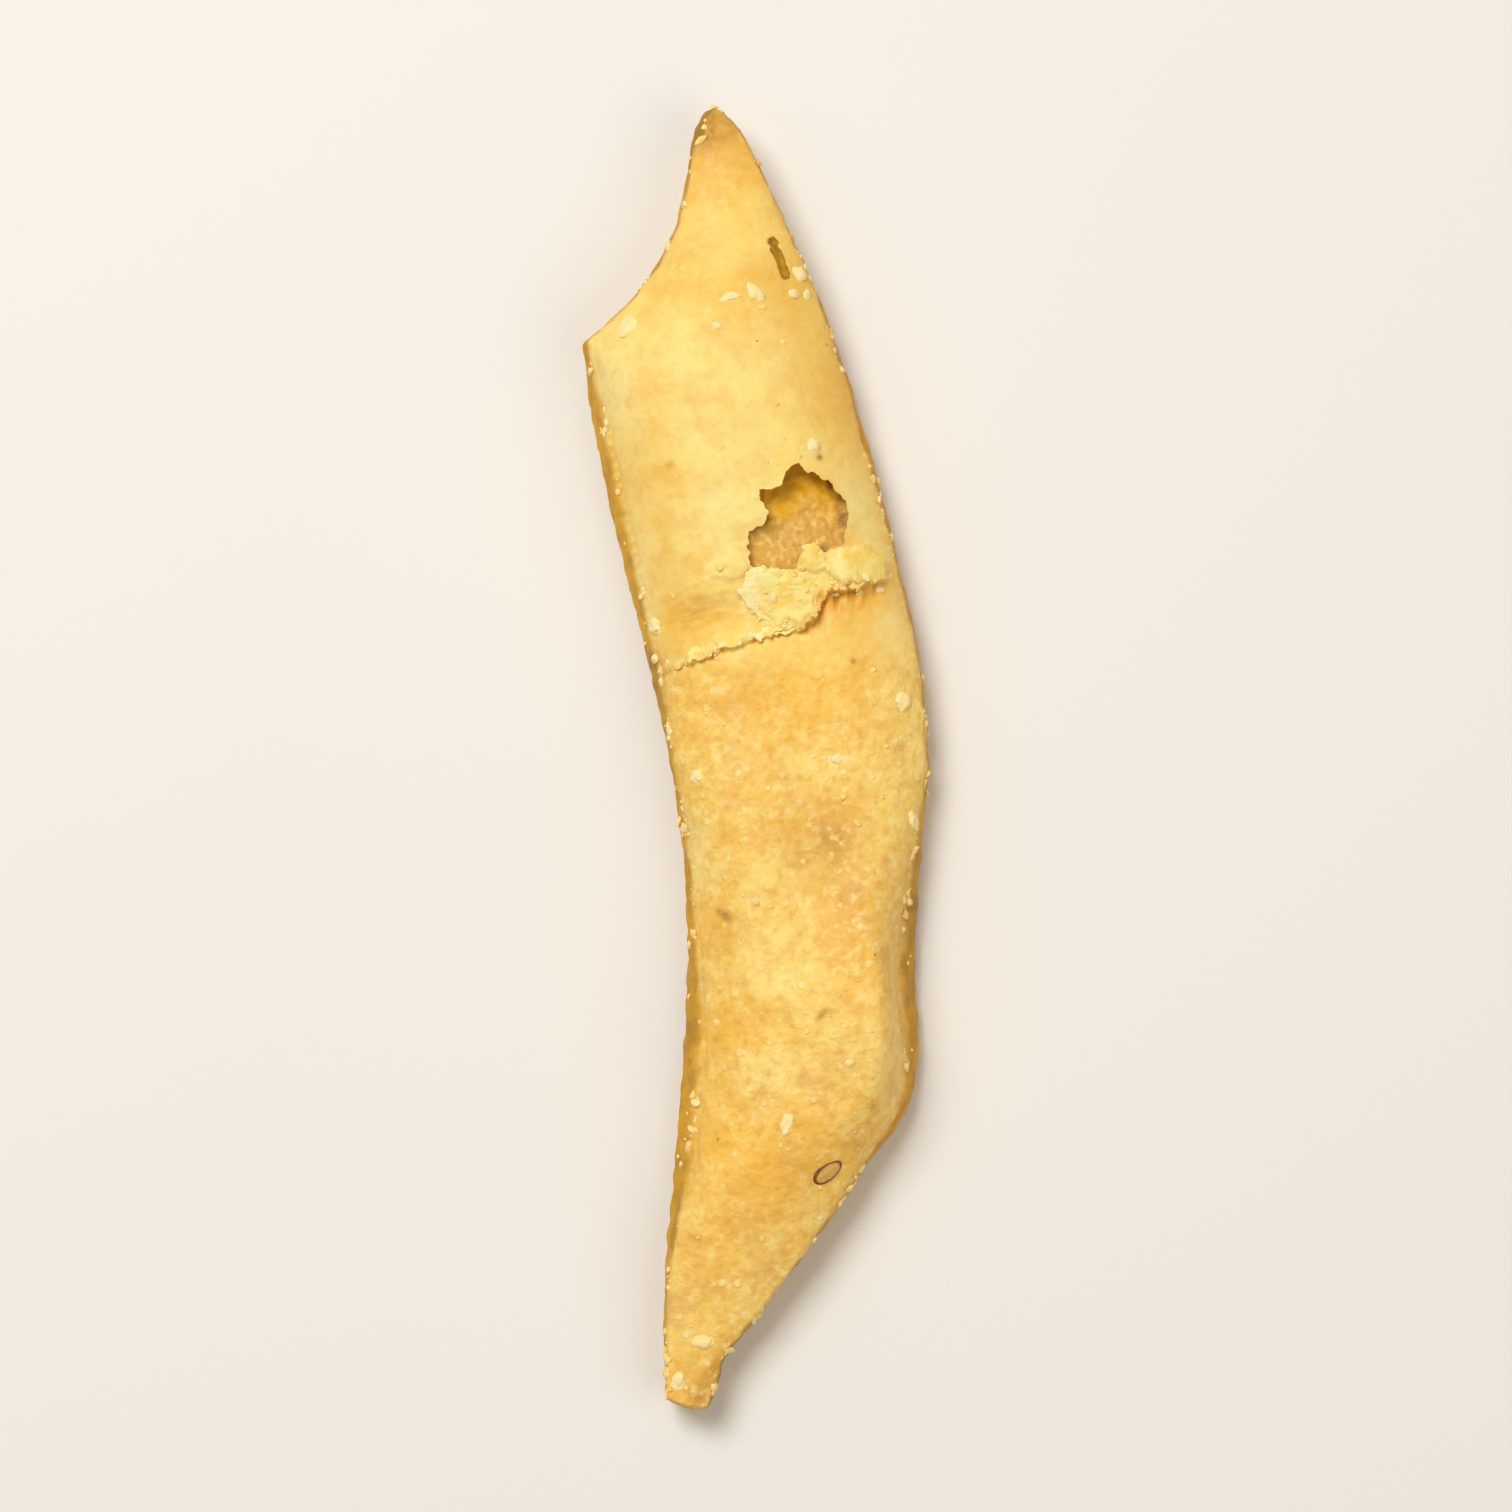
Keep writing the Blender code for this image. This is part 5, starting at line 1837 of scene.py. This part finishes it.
@dataclass
class Studio:
    """A plain pale floor, soft light from above and a camera over the strip, in metres."""

    floor_colour: str = "#EFEDE8"
    floor_size: float = 1.6
    floor_roughness: float = 0.8
    # Each soft light's name, place, width, power in watts and colour. The fill is a little warm, as
    # light is that food close by throws back.
    lights: tuple[tuple[str, tuple[float, ...], float, float, str], ...] = (
        ("key", (-0.16, 0.20, 0.44), 0.24, 1.83, "#FFFFFF"),
        ("fill", (0.30, -0.16, 0.40), 0.40, 0.66, "#FFF3E2"),
    )
    sky: float = 0.3
    sky_colour: str = "#FFF4E4"
    lens: float = 150.0  # mm
    sensor: float = 36.0  # mm
    nearest_seen: float = 0.01
    frame_height: float = 0.083  # what is seen from the picture's top to its foot
    elevation: float = 87.0  # degrees above the floor

    def build(self) -> None:
        """Sets out the floor, the lights and the camera."""
        self._floor()
        for name, place, size, power, colour in self.lights:
            light = add_alone(bpy.ops.object.light_add, type="AREA", location=place)
            light.name = name
            light.data.size = size
            light.data.energy = power
            light.data.color = linear(colour)[:3]
            light.rotation_euler = Vector(place).to_track_quat("Z", "Y").to_euler()
        world = bpy.data.worlds.new("studio")
        bpy.context.scene.world = world
        world.use_nodes = True
        background = world.node_tree.nodes["Background"]
        background.inputs["Color"].default_value = linear(self.sky_colour)
        background.inputs["Strength"].default_value = self.sky
        bpy.context.scene.view_settings.view_transform = "Standard"
        self._camera()

    def _floor(self) -> None:
        """Lays the floor."""
        floor = add_alone(bpy.ops.mesh.primitive_plane_add, size=self.floor_size)
        floor.name = "floor"
        material = bpy.data.materials.new("pale_floor")
        material.use_nodes = True
        shader = material.node_tree.nodes["Principled BSDF"]
        shader.inputs["Base Color"].default_value = linear(self.floor_colour)
        shader.inputs["Roughness"].default_value = self.floor_roughness
        floor.data.materials.append(material)

    def _camera(self) -> None:
        """Hangs the camera so that the strip fills the frame from top to bottom."""
        data = bpy.data.cameras.new("camera")
        camera = bpy.data.objects.new("camera", data)
        bpy.context.scene.collection.objects.link(camera)
        data.lens = self.lens
        data.sensor_width = self.sensor
        data.clip_start = self.nearest_seen
        away = self.frame_height * self.lens / self.sensor
        up = math.radians(self.elevation)
        aim = Vector((0, 0, (CAD_BOX[0][2] + CAD_BOX[1][2]) / 2))
        camera.location = aim + away * Vector((0, -math.cos(up), math.sin(up)))
        camera.rotation_euler = (math.pi / 2 - up, 0, 0)
        bpy.context.scene.camera = camera


def place_piece(piece: bpy.types.Object) -> None:
    """Brings a piece made in the strip's own mm to the frame, and makes it part of the strip.

    Args:
        piece: the piece.
    """
    points = vertex_array(piece.data)
    points[:, :2] -= MIDDLE
    move_vertices(piece.data, points * MM)
    piece.data.calc_loop_triangles()
    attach(piece, BODY)
    log.info("%s: %d triangles", piece.name, len(piece.data.loop_triangles))


def main() -> None:
    """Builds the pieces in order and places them."""
    logging.basicConfig(level=logging.INFO, format="%(message)s")
    for thing in list(bpy.data.objects):
        if thing.name in ("Cube", "Light", "Camera"):
            bpy.data.objects.remove(thing)
    noise.seed_set(NOISE_SEED)
    shape = PuffedStrip()
    crust = Crust(shape, FriedCrust()).build()
    pieces = [
        crust,
        BrokenSkin(shape, SkinFlake()).build(),
        *Crumbs(shape, FriedCrumb()).build(crust),
        AjwainSeed(shape, AjwainHusk()).build(crust),
    ]
    for piece in pieces:
        place_piece(piece)
    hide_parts("mathri")
    Studio().build()


if __name__ == "__main__":
    main()
